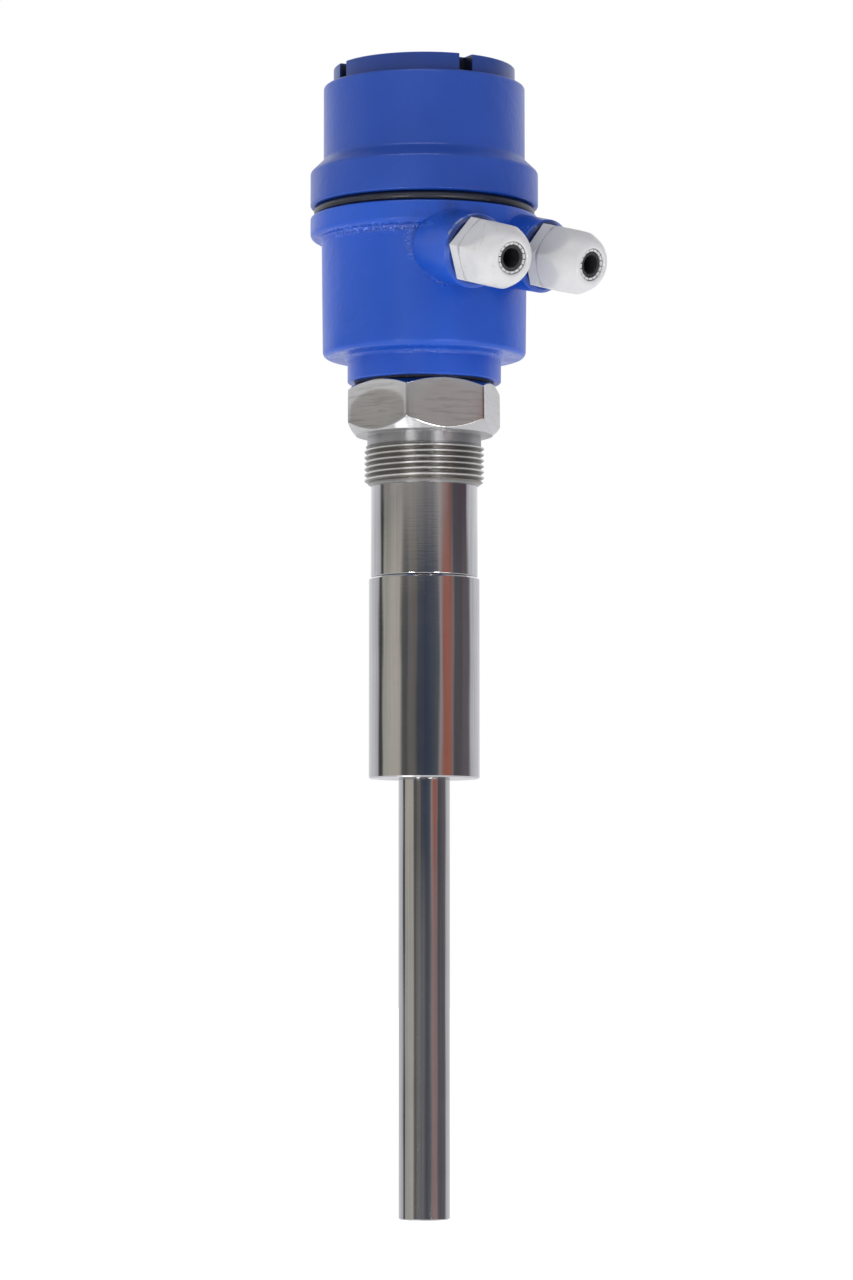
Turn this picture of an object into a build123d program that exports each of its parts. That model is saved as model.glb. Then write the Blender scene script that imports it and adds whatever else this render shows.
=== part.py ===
from build123d import *
from math import cos, radians, sin, tan
import os

os.makedirs("parts", exist_ok=True)

# Sizes are in millimetres. The origin is on the axis, at the top end of the process thread.
# +Z runs up to the head, and the cable entries face -Y and +X.

# Process connection
thread_radius = 23.9
thread_length = 16.2
thread_end_chamfer = 2.2
relief_radius = 22.7
relief_height = 4.1
hex_across_flats = 55.5
hex_height = 20.4
hex_turn = 17.7
hex_top_cone_angle = 35.0
hex_bottom_cone_angle = 44.0
hex_bottom_inset = 0.55
connector_bore_radius = 15.0
upper_sleeve_radius = 21.25
upper_sleeve_length = 36.6
spigot_radius = 22.0
spigot_height = 8.6

# Sensor tube and vibrating rod
lower_sleeve_radius = 22.0
lower_sleeve_length = 79.7
lower_sleeve_wall = 3.5
sleeve_chamfer = 0.6
joint_spigot_length = 6.0
rod_radius = 10.2
rod_wall = 2.7
rod_reach = 173.3
rod_end_wall = 4.0
rod_end_chamfer = 0.5
membrane_thickness = 2.0
rod_rise = 6.0

# Inner resonator and drive stack
inner_rod_radius = 4.5
inner_rod_tip_gap = 6.0
hub_radius = 12.0
hub_height = 6.0
stud_radius = 4.0
stud_height = 26.0
insulator_thickness = 2.0
piezo_count = 4
piezo_thickness = 3.0
piezo_radius = 11.0
electrode_thickness = 0.4
electrode_tab_width = 3.0
clamp_nut_across_flats = 13.0
clamp_nut_height = 6.0

# Housing
flange_radius = 45.5
flange_height = 9.0
flange_bottom_fillet = 2.4
flange_top_fillet = 1.0
flange_root_fillet = 1.2
flange_lip = 4.5
barrel_top_radius = flange_radius - flange_lip
barrel_taper = 0.5
barrel_bottom_radius = barrel_top_radius - barrel_taper
barrel_height = 47.4
barrel_bottom_fillet = 2.5
neck_step = 9.9
neck_radius = barrel_bottom_radius - neck_step
neck_height = 10.0
neck_root_fillet = 2.0
neck_rim_chamfer = 0.4
neck_gasket_thickness = 0.8
floor_thickness = 4.0
cover_seat_width = 8.3
cover_neck_radius = flange_radius - cover_seat_width
cover_neck_wall = 2.2
cavity_radius = cover_neck_radius - cover_neck_wall
cover_neck_height = 14.0
cover_neck_chamfer = 1.0
thread_ridge = 0.8

# Cable entries: where the two bosses end, and which way each one points
entry_azimuth = 39.0
entry_side_offset = 17.8
entry_reach = 13.8
entry_distance = barrel_top_radius + entry_reach
entry_drops = (21.9, 20.45)
entry_axis_azimuths = (33.5, 45.0)
entry_tilt = 14.0
boss_radius = 14.5
boss_draft = 1.0
boss_length = 23.0
boss_rim_chamfer = 1.5
entry_bore_radius = 10.0
entry_bore_overrun = 5.0

# Cover
seal_gap = 4.0
skirt_radius = flange_radius
skirt_height = 13.8
flare_height = 5.0
cover_step = 5.25
cover_radius = skirt_radius - cover_step
cover_barrel_height = 28.7
cover_wall = 4.0
roof_thickness = 2.5
shoulder_height = 1.3
flare_fillet = 2.0
skirt_fillet = 1.0
disc_step = 3.95
disc_radius = cover_radius - disc_step
disc_height = 7.3
disc_chamfer = 0.4
notch_count = 4
notch_width = 5.8
notch_depth = 7.0
notch_azimuth = 27.0
cover_thread_depth = 13.3
seal_inset = 1.4
seal_face_gap = 0.05

# Cable glands
gland_across_flats = 24.5
gland_turns = (-6.0, -3.0)
gland_gasket_thickness = 1.0
gland_gasket_width = 1.6
gland_flange_height = 5.0
gland_seam = 0.3
gland_shank_length = 10.0
gland_neck_radius = 9.4
gland_neck_height = 8.0
claw_root_radius = 8.3
claw_recess = 0.4
gland_shank_bore_radius = 7.2
claw_height = 9.8
claw_straight_height = 3.3
claw_tip_radius = 6.0
claw_bore_radius = 5.2
claw_slots = 16
claw_slot_width = 0.4
nut_height = 18.5
nut_mouth_radius = 6.3
nut_mouth_fillet = 0.8
nut_start_rise = 0.8
dome_foot_rise = 4.4
dome_waist_share = 0.88
dome_waist_rise = 11.4
dome_crown_share = 0.75
dome_crown_rise = 15.7
dome_foot_lean = (-0.05, 1.0)
dome_top_lean = (-1.0, 0.05)
seal_bore_radius = 3.8
seal_length = 12.6

# Electronics insert
chassis_clearance = 2.0
chassis_radius = cavity_radius - chassis_clearance
chassis_flat = 6.0
chassis_rise = 7.4
chassis_height = barrel_height + flange_height - floor_thickness + chassis_rise
chassis_wall = 2.0
board_flat = 12.5
board_thickness = 1.6
post_radius = 3.0
post_inset = 6.0
post_circle_radius = chassis_radius - post_inset
post_angles = (105.0, 180.0, 255.0)
board_screw_radius = 1.5
board_screw_length = 8.0
board_slot_angle = 70.0
module_screw_radius = 2.0
module_screw_length = 7.5
module_screw_inset = 6.5
module_screw_circle_radius = chassis_radius - module_screw_inset
module_screw_angles = (140.0, 220.0)
module_slot_angle = 30.0
screw_head_height = 2.2
screw_slot_width = 0.7
screw_head_ratio = 1.75
block_edge = 0.6
terminal_count = 5
terminal_depth = 11.0
terminal_height = 12.0
terminal_centre = 6.0
terminal_end_room = 17.7
terminal_pitch = (2 * (chassis_radius - terminal_end_room) - block_edge) / terminal_count
terminal_screw_share = 0.2
terminal_screw_radius = terminal_pitch * terminal_screw_share
terminal_screw_length = 5.0
terminal_well_depth = 3.4
terminal_slot_angle = 90.0
wire_hole_share = 0.6
wire_hole_width = terminal_pitch * wire_hole_share
wire_hole_height = 3.4
wire_hole_rise = 3.4
wire_hole_depth = 8.8
capacitor_radius = 4.0
capacitor_height = 12.0
capacitor_inset = 9.0
capacitor_centre = (capacitor_inset - chassis_radius, 12.0)
groove_rise = 2.4
groove_height = 0.6
groove_depth = 0.3
block_clearance = 4.0
block_end = terminal_centre - terminal_depth / 2 - block_clearance
capacitor_gap = 1.5
relay_start = capacitor_centre[0] + capacitor_radius + capacitor_gap
relay_size = (block_end - relay_start, 15.0, 14.0)
relay_centre = ((block_end + relay_start) / 2, 10.5)
led_radius = 2.5
led_height = 6.0
led_collar = 0.4
led_collar_height = 1.0
led_dome_radius = 2.25
led_inset = 8.0
led_centre = (led_inset - chassis_radius, -10.0)
led_gap = 0.6
transformer_start = led_centre[0] + led_radius + led_collar + led_gap
transformer_size = (block_end - transformer_start, 17.0, 16.0)
transformer_centre = ((block_end + transformer_start) / 2, -10.0)
trimmer_side = 9.5
trimmer_height = 5.0
trimmer_inset = 10.0
trimmer_centre = (3.0, chassis_radius - trimmer_inset)
knob_radius = 3.6
knob_height = 4.0
knob_slot_length = 5.8
knob_slot_depth = 1.3
knob_stem_radius = 1.5
knob_stem_length = 3.0
switch_size = (8.0, 12.0, 5.0)
switch_inset = 10.0
switch_centre = (3.0, switch_inset - chassis_radius)
slider_size = (3.0, 3.0, 3.2)
slider_travel = 4.0
lead_radius = 0.8
lead_offset = 8.8
lead_plug_size = (8.0, 24.0, 6.0)
earth_screw_inset = 9.5
earth_screw_offset = cavity_radius - earth_screw_inset
earth_screw_radius = 2.0
earth_screw_length = 6.5
earth_washer_thickness = 1.0
earth_washer_radius = 4.8

# Clearances between pieces
weld_gap = 0.02
thread_gap = 0.1
seat_gap = 0.3
slip_gap = 0.15
running_gap = 0.08

# Heights that follow from the sizes above
hex_bottom = relief_height
hex_top = hex_bottom + hex_height
neck_bottom = hex_top + neck_gasket_thickness
barrel_bottom = neck_bottom + neck_height
floor_top = barrel_bottom + floor_thickness
flange_bottom = barrel_bottom + barrel_height
flange_top = flange_bottom + flange_height
cover_neck_top = flange_top + cover_neck_height
cover_bottom = flange_top + seal_gap
skirt_top = cover_bottom + skirt_height
flare_top = skirt_top + flare_height
cover_edge = flare_top + cover_barrel_height
disc_bottom = cover_edge + shoulder_height
disc_top = disc_bottom + disc_height
sleeve_step = -thread_length - upper_sleeve_length
sleeve_bottom = sleeve_step - lower_sleeve_length
rod_bottom = sleeve_bottom - rod_reach
membrane_top = sleeve_bottom + membrane_thickness
rod_top = membrane_top + rod_rise
lower_sleeve_bore = lower_sleeve_radius - lower_sleeve_wall
hub_top = rod_top + hub_height
chassis_top = floor_top + chassis_height
board_top = chassis_top + board_thickness


def entry_direction(azimuth, tilt):
    """Unit vector at an azimuth from -Y towards +X, dropped by the tilt."""
    flat = cos(radians(tilt))
    return Vector(sin(radians(azimuth)) * flat, -cos(radians(azimuth)) * flat, -sin(radians(tilt)))


def entry_plane(number, distance=0.0):
    """Plane across cable entry 0 or 1: its normal leaves the head, its x axis is level."""
    out = entry_direction(entry_azimuth, 0.0)
    level = Vector(cos(radians(entry_azimuth)), sin(radians(entry_azimuth)), 0)
    offset = entry_side_offset * (2 * number - 1)
    seat = out * entry_distance + level * offset + Vector(0, 0, flange_top - entry_drops[number])
    azimuth = entry_axis_azimuths[number]
    axis = entry_direction(azimuth, entry_tilt)
    across = Vector(cos(radians(azimuth)), sin(radians(azimuth)), 0)
    return Plane(origin=seat + axis * distance, x_dir=across, z_dir=axis)


def entry_section(number):
    """Plane through the axis of a cable entry, with its y axis along the way out of the head."""
    across = entry_plane(number)
    return Plane(origin=across.origin, x_dir=across.x_dir, z_dir=across.z_dir.cross(across.x_dir) * -1)


def entry_axis(number):
    """Line along a cable entry."""
    return Axis(entry_plane(number).origin, entry_plane(number).z_dir)


def deck(height):
    """Level plane whose x axis points from the axis towards the cable entries."""
    return Plane(origin=(0, 0, height), x_dir=entry_direction(entry_azimuth, 0.0), z_dir=(0, 0, 1))


def circles_at(part, height, radius, reach=0.05):
    """Circular edges of a part about the Z axis at a height and a radius."""
    found = part.edges().filter_by(GeomType.CIRCLE)
    found = found.filter_by(lambda e: abs(e.arc_center.Z - height) < reach)
    found = found.filter_by(lambda e: abs(e.arc_center.X) < reach and abs(e.arc_center.Y) < reach)
    return found.filter_by(lambda e: abs(e.radius - radius) < reach)


def finish(piece, label):
    """Name a finished piece and write it to its own file."""
    piece.part.label = label
    export_step(piece.part, f"parts/{label}.step")


# Process connector, turned from hexagon bar in one piece with the upper sleeve
hex_flat_radius = hex_across_flats / 2
hex_corner_radius = hex_flat_radius / cos(radians(30))
hex_face_radius = hex_flat_radius - hex_bottom_inset
hex_top_rise = (hex_corner_radius - hex_flat_radius) * tan(radians(hex_top_cone_angle))
hex_bottom_rise = (hex_corner_radius - hex_face_radius) * tan(radians(hex_bottom_cone_angle))
joint_spigot_radius = lower_sleeve_bore - weld_gap

with BuildPart() as process_connector:
    with BuildSketch(Plane.XY.offset(hex_bottom)):
        RegularPolygon(hex_flat_radius, 6, major_radius=False, rotation=hex_turn)
    extrude(amount=hex_height)
    with BuildSketch(Plane.XZ):
        with BuildLine():
            Polyline(
                (0, hex_bottom),
                (hex_face_radius, hex_bottom),
                (hex_corner_radius, hex_bottom + hex_bottom_rise),
                (hex_corner_radius, hex_top - hex_top_rise),
                (hex_flat_radius, hex_top),
                (0, hex_top),
                close=True,
            )
        make_face()
    revolve(axis=Axis.Z, mode=Mode.INTERSECT)
    with BuildSketch(Plane.XZ):
        with BuildLine():
            Polyline(
                (0, hex_top + spigot_height),
                (spigot_radius - sleeve_chamfer, hex_top + spigot_height),
                (spigot_radius, hex_top + spigot_height - sleeve_chamfer),
                (spigot_radius, hex_bottom),
                (relief_radius, hex_bottom),
                (relief_radius, 0),
                (thread_radius, 0),
                (thread_radius, thread_end_chamfer - thread_length),
                (upper_sleeve_radius, -thread_length),
                (upper_sleeve_radius, sleeve_step + sleeve_chamfer),
                (upper_sleeve_radius - sleeve_chamfer, sleeve_step),
                (joint_spigot_radius, sleeve_step),
                (joint_spigot_radius, sleeve_step - joint_spigot_length),
                (0, sleeve_step - joint_spigot_length),
                close=True,
            )
        make_face()
    revolve(axis=Axis.Z)
    with BuildSketch(Plane.XY.offset(sleeve_step - joint_spigot_length)):
        Circle(connector_bore_radius)
    extrude(amount=hex_top + spigot_height - sleeve_step + joint_spigot_length, mode=Mode.SUBTRACT)
finish(process_connector, "process_connector")

# Lower sleeve, the wider tube that holds the drive stack
with BuildPart() as lower_sleeve:
    with BuildSketch(Plane.XY.offset(sleeve_bottom)):
        Circle(lower_sleeve_radius)
        Circle(lower_sleeve_bore, mode=Mode.SUBTRACT)
    extrude(amount=lower_sleeve_length)
    rims = circles_at(lower_sleeve, sleeve_step, lower_sleeve_radius)
    rims += circles_at(lower_sleeve, sleeve_bottom, lower_sleeve_radius)
    chamfer(rims, length=sleeve_chamfer)
finish(lower_sleeve, "lower_sleeve")

# Membrane that closes the tube and lets the rod swing
with BuildPart() as rod_membrane:
    with BuildSketch(Plane.XY.offset(sleeve_bottom)):
        Circle(lower_sleeve_bore - weld_gap)
        Circle(rod_radius + weld_gap, mode=Mode.SUBTRACT)
    extrude(amount=membrane_thickness)
finish(rod_membrane, "rod_membrane")

# Vibrating rod, a tube with a closed flat end
with BuildPart() as vibrating_rod:
    with BuildSketch(Plane.XY.offset(rod_bottom)):
        Circle(rod_radius)
    extrude(amount=rod_top - rod_bottom)
    with BuildSketch(Plane.XY.offset(rod_bottom + rod_end_wall)):
        Circle(rod_radius - rod_wall)
    extrude(amount=rod_top - rod_bottom - rod_end_wall, mode=Mode.SUBTRACT)
    chamfer(circles_at(vibrating_rod, rod_bottom, rod_radius), length=rod_end_chamfer)
finish(vibrating_rod, "vibrating_rod")

# Inner resonator: a rod inside the tube, a hub on the tube's rim and a stud for the stack
with BuildPart() as inner_rod:
    with BuildSketch(Plane.XY.offset(rod_bottom + rod_end_wall + inner_rod_tip_gap)):
        Circle(inner_rod_radius)
    extrude(amount=rod_top - rod_bottom - rod_end_wall - inner_rod_tip_gap)
    with BuildSketch(Plane.XY.offset(rod_top)):
        Circle(hub_radius)
    extrude(amount=hub_height)
    with BuildSketch(Plane.XY.offset(hub_top)):
        Circle(stud_radius)
    extrude(amount=stud_height)
finish(inner_rod, "inner_rod")

# Drive stack on the stud: insulators outside, piezo rings between contact plates
stack_bore = stud_radius + running_gap
piezo_step = piezo_thickness + electrode_thickness
first_electrode = hub_top + insulator_thickness
last_electrode = first_electrode + piezo_count * piezo_step
stack_top = last_electrode + electrode_thickness + insulator_thickness
lead_circle = (lead_offset**2 + lead_offset**2) ** 0.5

with BuildPart() as stack_insulators:
    for height in (hub_top, last_electrode + electrode_thickness):
        with BuildSketch(Plane.XY.offset(height)):
            Circle(piezo_radius)
            Circle(stack_bore, mode=Mode.SUBTRACT)
        extrude(amount=insulator_thickness)
finish(stack_insulators, "stack_insulators")

with BuildPart() as piezo_rings:
    for number in range(piezo_count):
        with BuildSketch(Plane.XY.offset(first_electrode + electrode_thickness + number * piezo_step)):
            Circle(piezo_radius)
            Circle(stack_bore, mode=Mode.SUBTRACT)
        extrude(amount=piezo_thickness)
finish(piezo_rings, "piezo_rings")

with BuildPart() as stack_electrodes:
    for number in range(piezo_count + 1):
        lead_angle = 135.0 if number % 2 == 0 else 225.0
        with BuildSketch(deck(first_electrode + number * piezo_step)):
            Circle(piezo_radius)
            with PolarLocations(lead_circle / 2 + lead_radius / 2, 1, start_angle=lead_angle):
                Rectangle(lead_circle + lead_radius, electrode_tab_width)
            Circle(stack_bore, mode=Mode.SUBTRACT)
            with PolarLocations(lead_circle, 1, start_angle=lead_angle):
                Circle(lead_radius + weld_gap, mode=Mode.SUBTRACT)
        extrude(amount=electrode_thickness)
finish(stack_electrodes, "stack_electrodes")

with BuildPart() as clamp_nut:
    with BuildSketch(Plane.XY.offset(stack_top)):
        RegularPolygon(clamp_nut_across_flats / 2, 6, major_radius=False)
        Circle(stack_bore, mode=Mode.SUBTRACT)
    extrude(amount=clamp_nut_height)
finish(clamp_nut, "clamp_nut")

# Two leads from the stack's contact plates up to the plug in the head
plug_bottom = floor_top + chassis_wall
with BuildPart() as sensor_leads:
    with BuildSketch(deck(first_electrode)):
        with PolarLocations(lead_circle, 2, start_angle=135.0, angular_range=90.0, endpoint=True):
            Circle(lead_radius)
    extrude(amount=plug_bottom - first_electrode)
finish(sensor_leads, "sensor_leads")

# Gasket in the seam between the hexagon and the painted neck
with BuildPart() as neck_gasket:
    with BuildSketch(Plane.XY.offset(hex_top)):
        Circle(hex_flat_radius)
        Circle(spigot_radius + running_gap, mode=Mode.SUBTRACT)
    extrude(amount=neck_gasket_thickness)
finish(neck_gasket, "neck_gasket")

# Housing, one casting: neck, barrel, flange, cable bosses and the threaded neck for the cover
lead_hole_radius = connector_bore_radius + weld_gap
fixing_depth = module_screw_length - chassis_wall + seat_gap
earth_depth = earth_screw_length - earth_washer_thickness + seat_gap
boss_root_radius = boss_radius + (boss_length - boss_rim_chamfer) * tan(radians(boss_draft))

with BuildPart() as housing:
    with BuildSketch(Plane.XZ):
        with BuildLine():
            Polyline(
                (0, neck_bottom),
                (neck_radius, neck_bottom),
                (neck_radius, barrel_bottom),
                (barrel_bottom_radius, barrel_bottom),
                (barrel_top_radius, flange_bottom),
                (flange_radius, flange_bottom),
                (flange_radius, flange_top),
                (0, flange_top),
                close=True,
            )
        make_face()
    revolve(axis=Axis.Z)
    fillet(circles_at(housing, barrel_bottom, barrel_bottom_radius), radius=barrel_bottom_fillet)
    fillet(circles_at(housing, barrel_bottom, neck_radius), radius=neck_root_fillet)
    chamfer(circles_at(housing, neck_bottom, neck_radius), length=neck_rim_chamfer)
    fillet(circles_at(housing, flange_bottom, flange_radius), radius=flange_bottom_fillet)
    fillet(circles_at(housing, flange_bottom, barrel_top_radius), radius=flange_root_fillet)
    fillet(circles_at(housing, flange_top, flange_radius), radius=flange_top_fillet)
    for number in (0, 1):
        with BuildSketch(entry_section(number)):
            with BuildLine():
                Polyline(
                    (0, 0),
                    (boss_radius - boss_rim_chamfer, 0),
                    (boss_radius, -boss_rim_chamfer),
                    (boss_root_radius, -boss_length),
                    (0, -boss_length),
                    close=True,
                )
            make_face()
        revolve(axis=entry_axis(number))
    with BuildSketch(Plane.XY.offset(flange_top)):
        Circle(flange_radius)
    extrude(amount=boss_length, mode=Mode.SUBTRACT)
    with BuildSketch(Plane.XY.offset(flange_top)):
        Circle(cover_neck_radius)
    extrude(amount=cover_neck_height)
    with BuildSketch(Plane.XY.offset(floor_top)):
        Circle(cavity_radius)
    extrude(amount=cover_neck_top - floor_top, mode=Mode.SUBTRACT)
    for number in (0, 1):
        with BuildSketch(entry_plane(number)):
            Circle(entry_bore_radius)
        extrude(amount=-boss_length - entry_bore_overrun, mode=Mode.SUBTRACT)
    with BuildSketch(Plane.XY.offset(neck_bottom)):
        Circle(spigot_radius + running_gap)
    extrude(amount=neck_height, mode=Mode.SUBTRACT)
    with BuildSketch(Plane.XY.offset(barrel_bottom)):
        Circle(lead_hole_radius)
    extrude(amount=floor_thickness, mode=Mode.SUBTRACT)
    with BuildSketch(deck(floor_top)):
        for angle in module_screw_angles:
            with PolarLocations(module_screw_circle_radius, 1, start_angle=angle):
                Circle(module_screw_radius + thread_gap)
    extrude(amount=-fixing_depth, mode=Mode.SUBTRACT)
    with BuildSketch(deck(floor_top)):
        with Locations((earth_screw_offset, 0)):
            Circle(earth_screw_radius + thread_gap)
    extrude(amount=-earth_depth, mode=Mode.SUBTRACT)
    chamfer(circles_at(housing, cover_neck_top, cover_neck_radius), length=cover_neck_chamfer)
finish(housing, "housing")

# Bush in the floor hole that carries the leads into the head
with BuildPart() as lead_grommet:
    with BuildSketch(deck(barrel_bottom)):
        Circle(connector_bore_radius)
        with PolarLocations(lead_circle, 2, start_angle=135.0, angular_range=90.0, endpoint=True):
            Circle(lead_radius + weld_gap, mode=Mode.SUBTRACT)
    extrude(amount=floor_thickness)
finish(lead_grommet, "lead_grommet")

# Cover, one casting: skirt, flare, barrel, shoulder and the notched disc
cover_bore_radius = cover_neck_radius + thread_ridge + thread_gap
roof_bottom = disc_top - disc_height - roof_thickness
cover_inner_radius = cover_radius - cover_wall
with BuildPart() as cover:
    with BuildSketch(Plane.XZ):
        with BuildLine():
            Polyline(
                (0, cover_bottom),
                (skirt_radius, cover_bottom),
                (skirt_radius, skirt_top),
                (cover_radius, flare_top),
                (cover_radius, disc_bottom),
                (0, disc_bottom),
                close=True,
            )
        make_face()
    revolve(axis=Axis.Z)
    fillet(circles_at(cover, disc_bottom, cover_radius), radius=shoulder_height)
    soft_rings = circles_at(cover, skirt_top, skirt_radius) + circles_at(cover, flare_top, cover_radius)
    fillet(soft_rings, radius=flare_fillet)
    fillet(circles_at(cover, cover_bottom, skirt_radius), radius=skirt_fillet)
    with BuildSketch(Plane.XY.offset(disc_bottom)):
        Circle(disc_radius)
    extrude(amount=disc_height)
    chamfer(circles_at(cover, disc_top, disc_radius), length=disc_chamfer)
    with BuildSketch(Plane.XY.offset(disc_bottom)):
        with PolarLocations(disc_radius, notch_count, start_angle=notch_azimuth - 90.0):
            Rectangle(2 * notch_depth, notch_width)
    extrude(amount=disc_height, mode=Mode.SUBTRACT)
    with BuildSketch(Plane.XY.offset(cover_bottom)):
        Circle(cover_bore_radius)
    extrude(amount=cover_thread_depth, mode=Mode.SUBTRACT)
    with BuildSketch(Plane.XY.offset(cover_bottom)):
        Circle(cover_inner_radius)
    extrude(amount=roof_bottom - cover_bottom, mode=Mode.SUBTRACT)
finish(cover, "cover")

# Sealing ring between the cover's skirt and the flange
seal_outer_radius = skirt_radius - seal_inset
seal_height = seal_gap - 2 * seal_face_gap
seal_bottom = flange_top + seal_face_gap
seal_inner_radius = cover_neck_radius + thread_ridge + seat_gap
with BuildPart() as cover_seal:
    with BuildSketch(Plane.XZ):
        with BuildLine():
            seal_flank = seal_outer_radius - seal_height / 2
            Polyline(
                (seal_flank, seal_bottom),
                (seal_inner_radius, seal_bottom),
                (seal_inner_radius, seal_bottom + seal_height),
                (seal_flank, seal_bottom + seal_height),
            )
            ThreePointArc(
                (seal_flank, seal_bottom + seal_height),
                (seal_outer_radius, seal_bottom + seal_height / 2),
                (seal_flank, seal_bottom),
            )
        make_face()
    revolve(axis=Axis.Z)
finish(cover_seal, "cover_seal")

# Cable glands, one on each boss
flange_start = gland_gasket_thickness
flange_end = flange_start + gland_flange_height
nut_start = flange_end + gland_seam
neck_end = nut_start + gland_neck_height
claw_end = neck_end + claw_height
nut_end = nut_start + nut_height
gland_flat_radius = gland_across_flats / 2
gland_corner_radius = gland_flat_radius / cos(radians(30))
gland_seal_radius = claw_bore_radius - slip_gap
seal_start = claw_end - claw_recess - seal_length
nut_bore_radius = gland_neck_radius + thread_gap
claw_slot_start = neck_end + claw_slot_width


for number, turn in enumerate(gland_turns):
    # Flat washer between the boss and the gland's hexagon
    with BuildPart() as gland_gasket:
        with BuildSketch(entry_plane(number)):
            Circle(entry_bore_radius + gland_gasket_width)
            Circle(entry_bore_radius, mode=Mode.SUBTRACT)
        extrude(amount=gland_gasket_thickness)
    finish(gland_gasket, f"gland_gasket_{number + 1}")

    # Body: shank in the boss, hexagon, threaded neck and a ring of claws round the seal
    with BuildPart() as gland_body:
        with BuildSketch(entry_plane(number, flange_start)):
            RegularPolygon(gland_flat_radius, 6, major_radius=False, rotation=turn)
        extrude(amount=gland_flange_height)
        with BuildSketch(entry_plane(number, flange_start)):
            Circle(entry_bore_radius - running_gap)
        extrude(amount=-gland_shank_length - flange_start)
        with BuildSketch(entry_section(number)):
            with BuildLine():
                Polyline(
                    (0, flange_start),
                    (gland_neck_radius, flange_start),
                    (gland_neck_radius, neck_end),
                    (claw_root_radius, neck_end),
                    (claw_root_radius, neck_end + claw_straight_height),
                    (claw_tip_radius, claw_end),
                    (0, claw_end),
                    close=True,
                )
            make_face()
        revolve(axis=entry_axis(number))
        with BuildSketch(entry_plane(number, -gland_shank_length)):
            Circle(claw_bore_radius)
        extrude(amount=gland_shank_length + claw_end, mode=Mode.SUBTRACT)
        with BuildSketch(entry_plane(number, -gland_shank_length)):
            Circle(gland_shank_bore_radius)
        extrude(amount=gland_shank_length + seal_start, mode=Mode.SUBTRACT)
        with BuildSketch(entry_plane(number, claw_slot_start)):
            with PolarLocations(0, claw_slots // 2, angular_range=180.0):
                Rectangle(2 * claw_root_radius, claw_slot_width)
        extrude(amount=claw_height, mode=Mode.SUBTRACT)
    finish(gland_body, f"gland_body_{number + 1}")

    # Rubber seal that the claws press on to the cable
    with BuildPart() as gland_seal:
        with BuildSketch(entry_plane(number, seal_start)):
            Circle(gland_seal_radius)
            Circle(seal_bore_radius, mode=Mode.SUBTRACT)
        extrude(amount=seal_length)
    finish(gland_seal, f"gland_seal_{number + 1}")

    # Dome nut: a hexagon that turns into a dome with a round mouth
    with BuildPart() as gland_nut:
        with BuildSketch(entry_plane(number, nut_start)):
            RegularPolygon(gland_flat_radius, 6, major_radius=False, rotation=turn)
        extrude(amount=nut_height)
        with BuildSketch(entry_section(number)):
            with BuildLine():
                Line((0, nut_start), (gland_flat_radius, nut_start))
                Line((gland_flat_radius, nut_start), (gland_corner_radius, nut_start + nut_start_rise))
                Line(
                    (gland_corner_radius, nut_start + nut_start_rise),
                    (gland_corner_radius, nut_start + dome_foot_rise),
                )
                Spline(
                    (gland_corner_radius, nut_start + dome_foot_rise),
                    (gland_corner_radius * dome_waist_share, nut_start + dome_waist_rise),
                    (gland_corner_radius * dome_crown_share, nut_start + dome_crown_rise),
                    (nut_mouth_radius + nut_mouth_fillet, nut_end),
                    tangents=(dome_foot_lean, dome_top_lean),
                )
                Line((nut_mouth_radius + nut_mouth_fillet, nut_end), (0, nut_end))
                Line((0, nut_end), (0, nut_start))
            make_face()
        revolve(axis=entry_axis(number), mode=Mode.INTERSECT)
        with BuildSketch(entry_section(number)):
            with BuildLine():
                Polyline(
                    (0, nut_start),
                    (nut_bore_radius, nut_start),
                    (nut_bore_radius, neck_end + seat_gap),
                    (claw_root_radius + seat_gap, neck_end + seat_gap),
                    (claw_root_radius + seat_gap, neck_end + claw_straight_height + seat_gap),
                    (nut_mouth_radius, claw_end),
                    (nut_mouth_radius, nut_end),
                    (0, nut_end),
                    close=True,
                )
            make_face()
        revolve(axis=entry_axis(number), mode=Mode.SUBTRACT)
    finish(gland_nut, f"gland_nut_{number + 1}")

# Chassis: a D-shaped tray that leaves the side towards the cable entries free for wires
with BuildPart() as chassis:
    with BuildSketch(deck(floor_top)):
        Circle(chassis_radius)
        with Locations((chassis_flat + chassis_radius, 0)):
            Rectangle(2 * chassis_radius, 2 * chassis_radius, mode=Mode.SUBTRACT)
    extrude(amount=chassis_height)
    with BuildSketch(deck(floor_top + chassis_wall)):
        Circle(chassis_radius - chassis_wall)
        with Locations((chassis_flat - chassis_wall + chassis_radius, 0)):
            Rectangle(2 * chassis_radius, 2 * chassis_radius, mode=Mode.SUBTRACT)
    extrude(amount=chassis_height - chassis_wall, mode=Mode.SUBTRACT)
    with BuildSketch(deck(floor_top)):
        for angle in post_angles:
            with PolarLocations(post_circle_radius, 1, start_angle=angle):
                Circle(post_radius)
    extrude(amount=chassis_height)
    with BuildSketch(deck(chassis_top)):
        for angle in post_angles:
            with PolarLocations(post_circle_radius, 1, start_angle=angle):
                Circle(board_screw_radius + thread_gap)
    extrude(amount=-board_screw_length, mode=Mode.SUBTRACT)
    with BuildSketch(deck(floor_top)):
        for angle in module_screw_angles:
            with PolarLocations(module_screw_circle_radius, 1, start_angle=angle):
                Circle(module_screw_radius + slip_gap)
        with PolarLocations(lead_circle, 2, start_angle=135.0, angular_range=90.0, endpoint=True):
            Circle(lead_radius + weld_gap)
    extrude(amount=chassis_wall, mode=Mode.SUBTRACT)
finish(chassis, "chassis")

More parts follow.
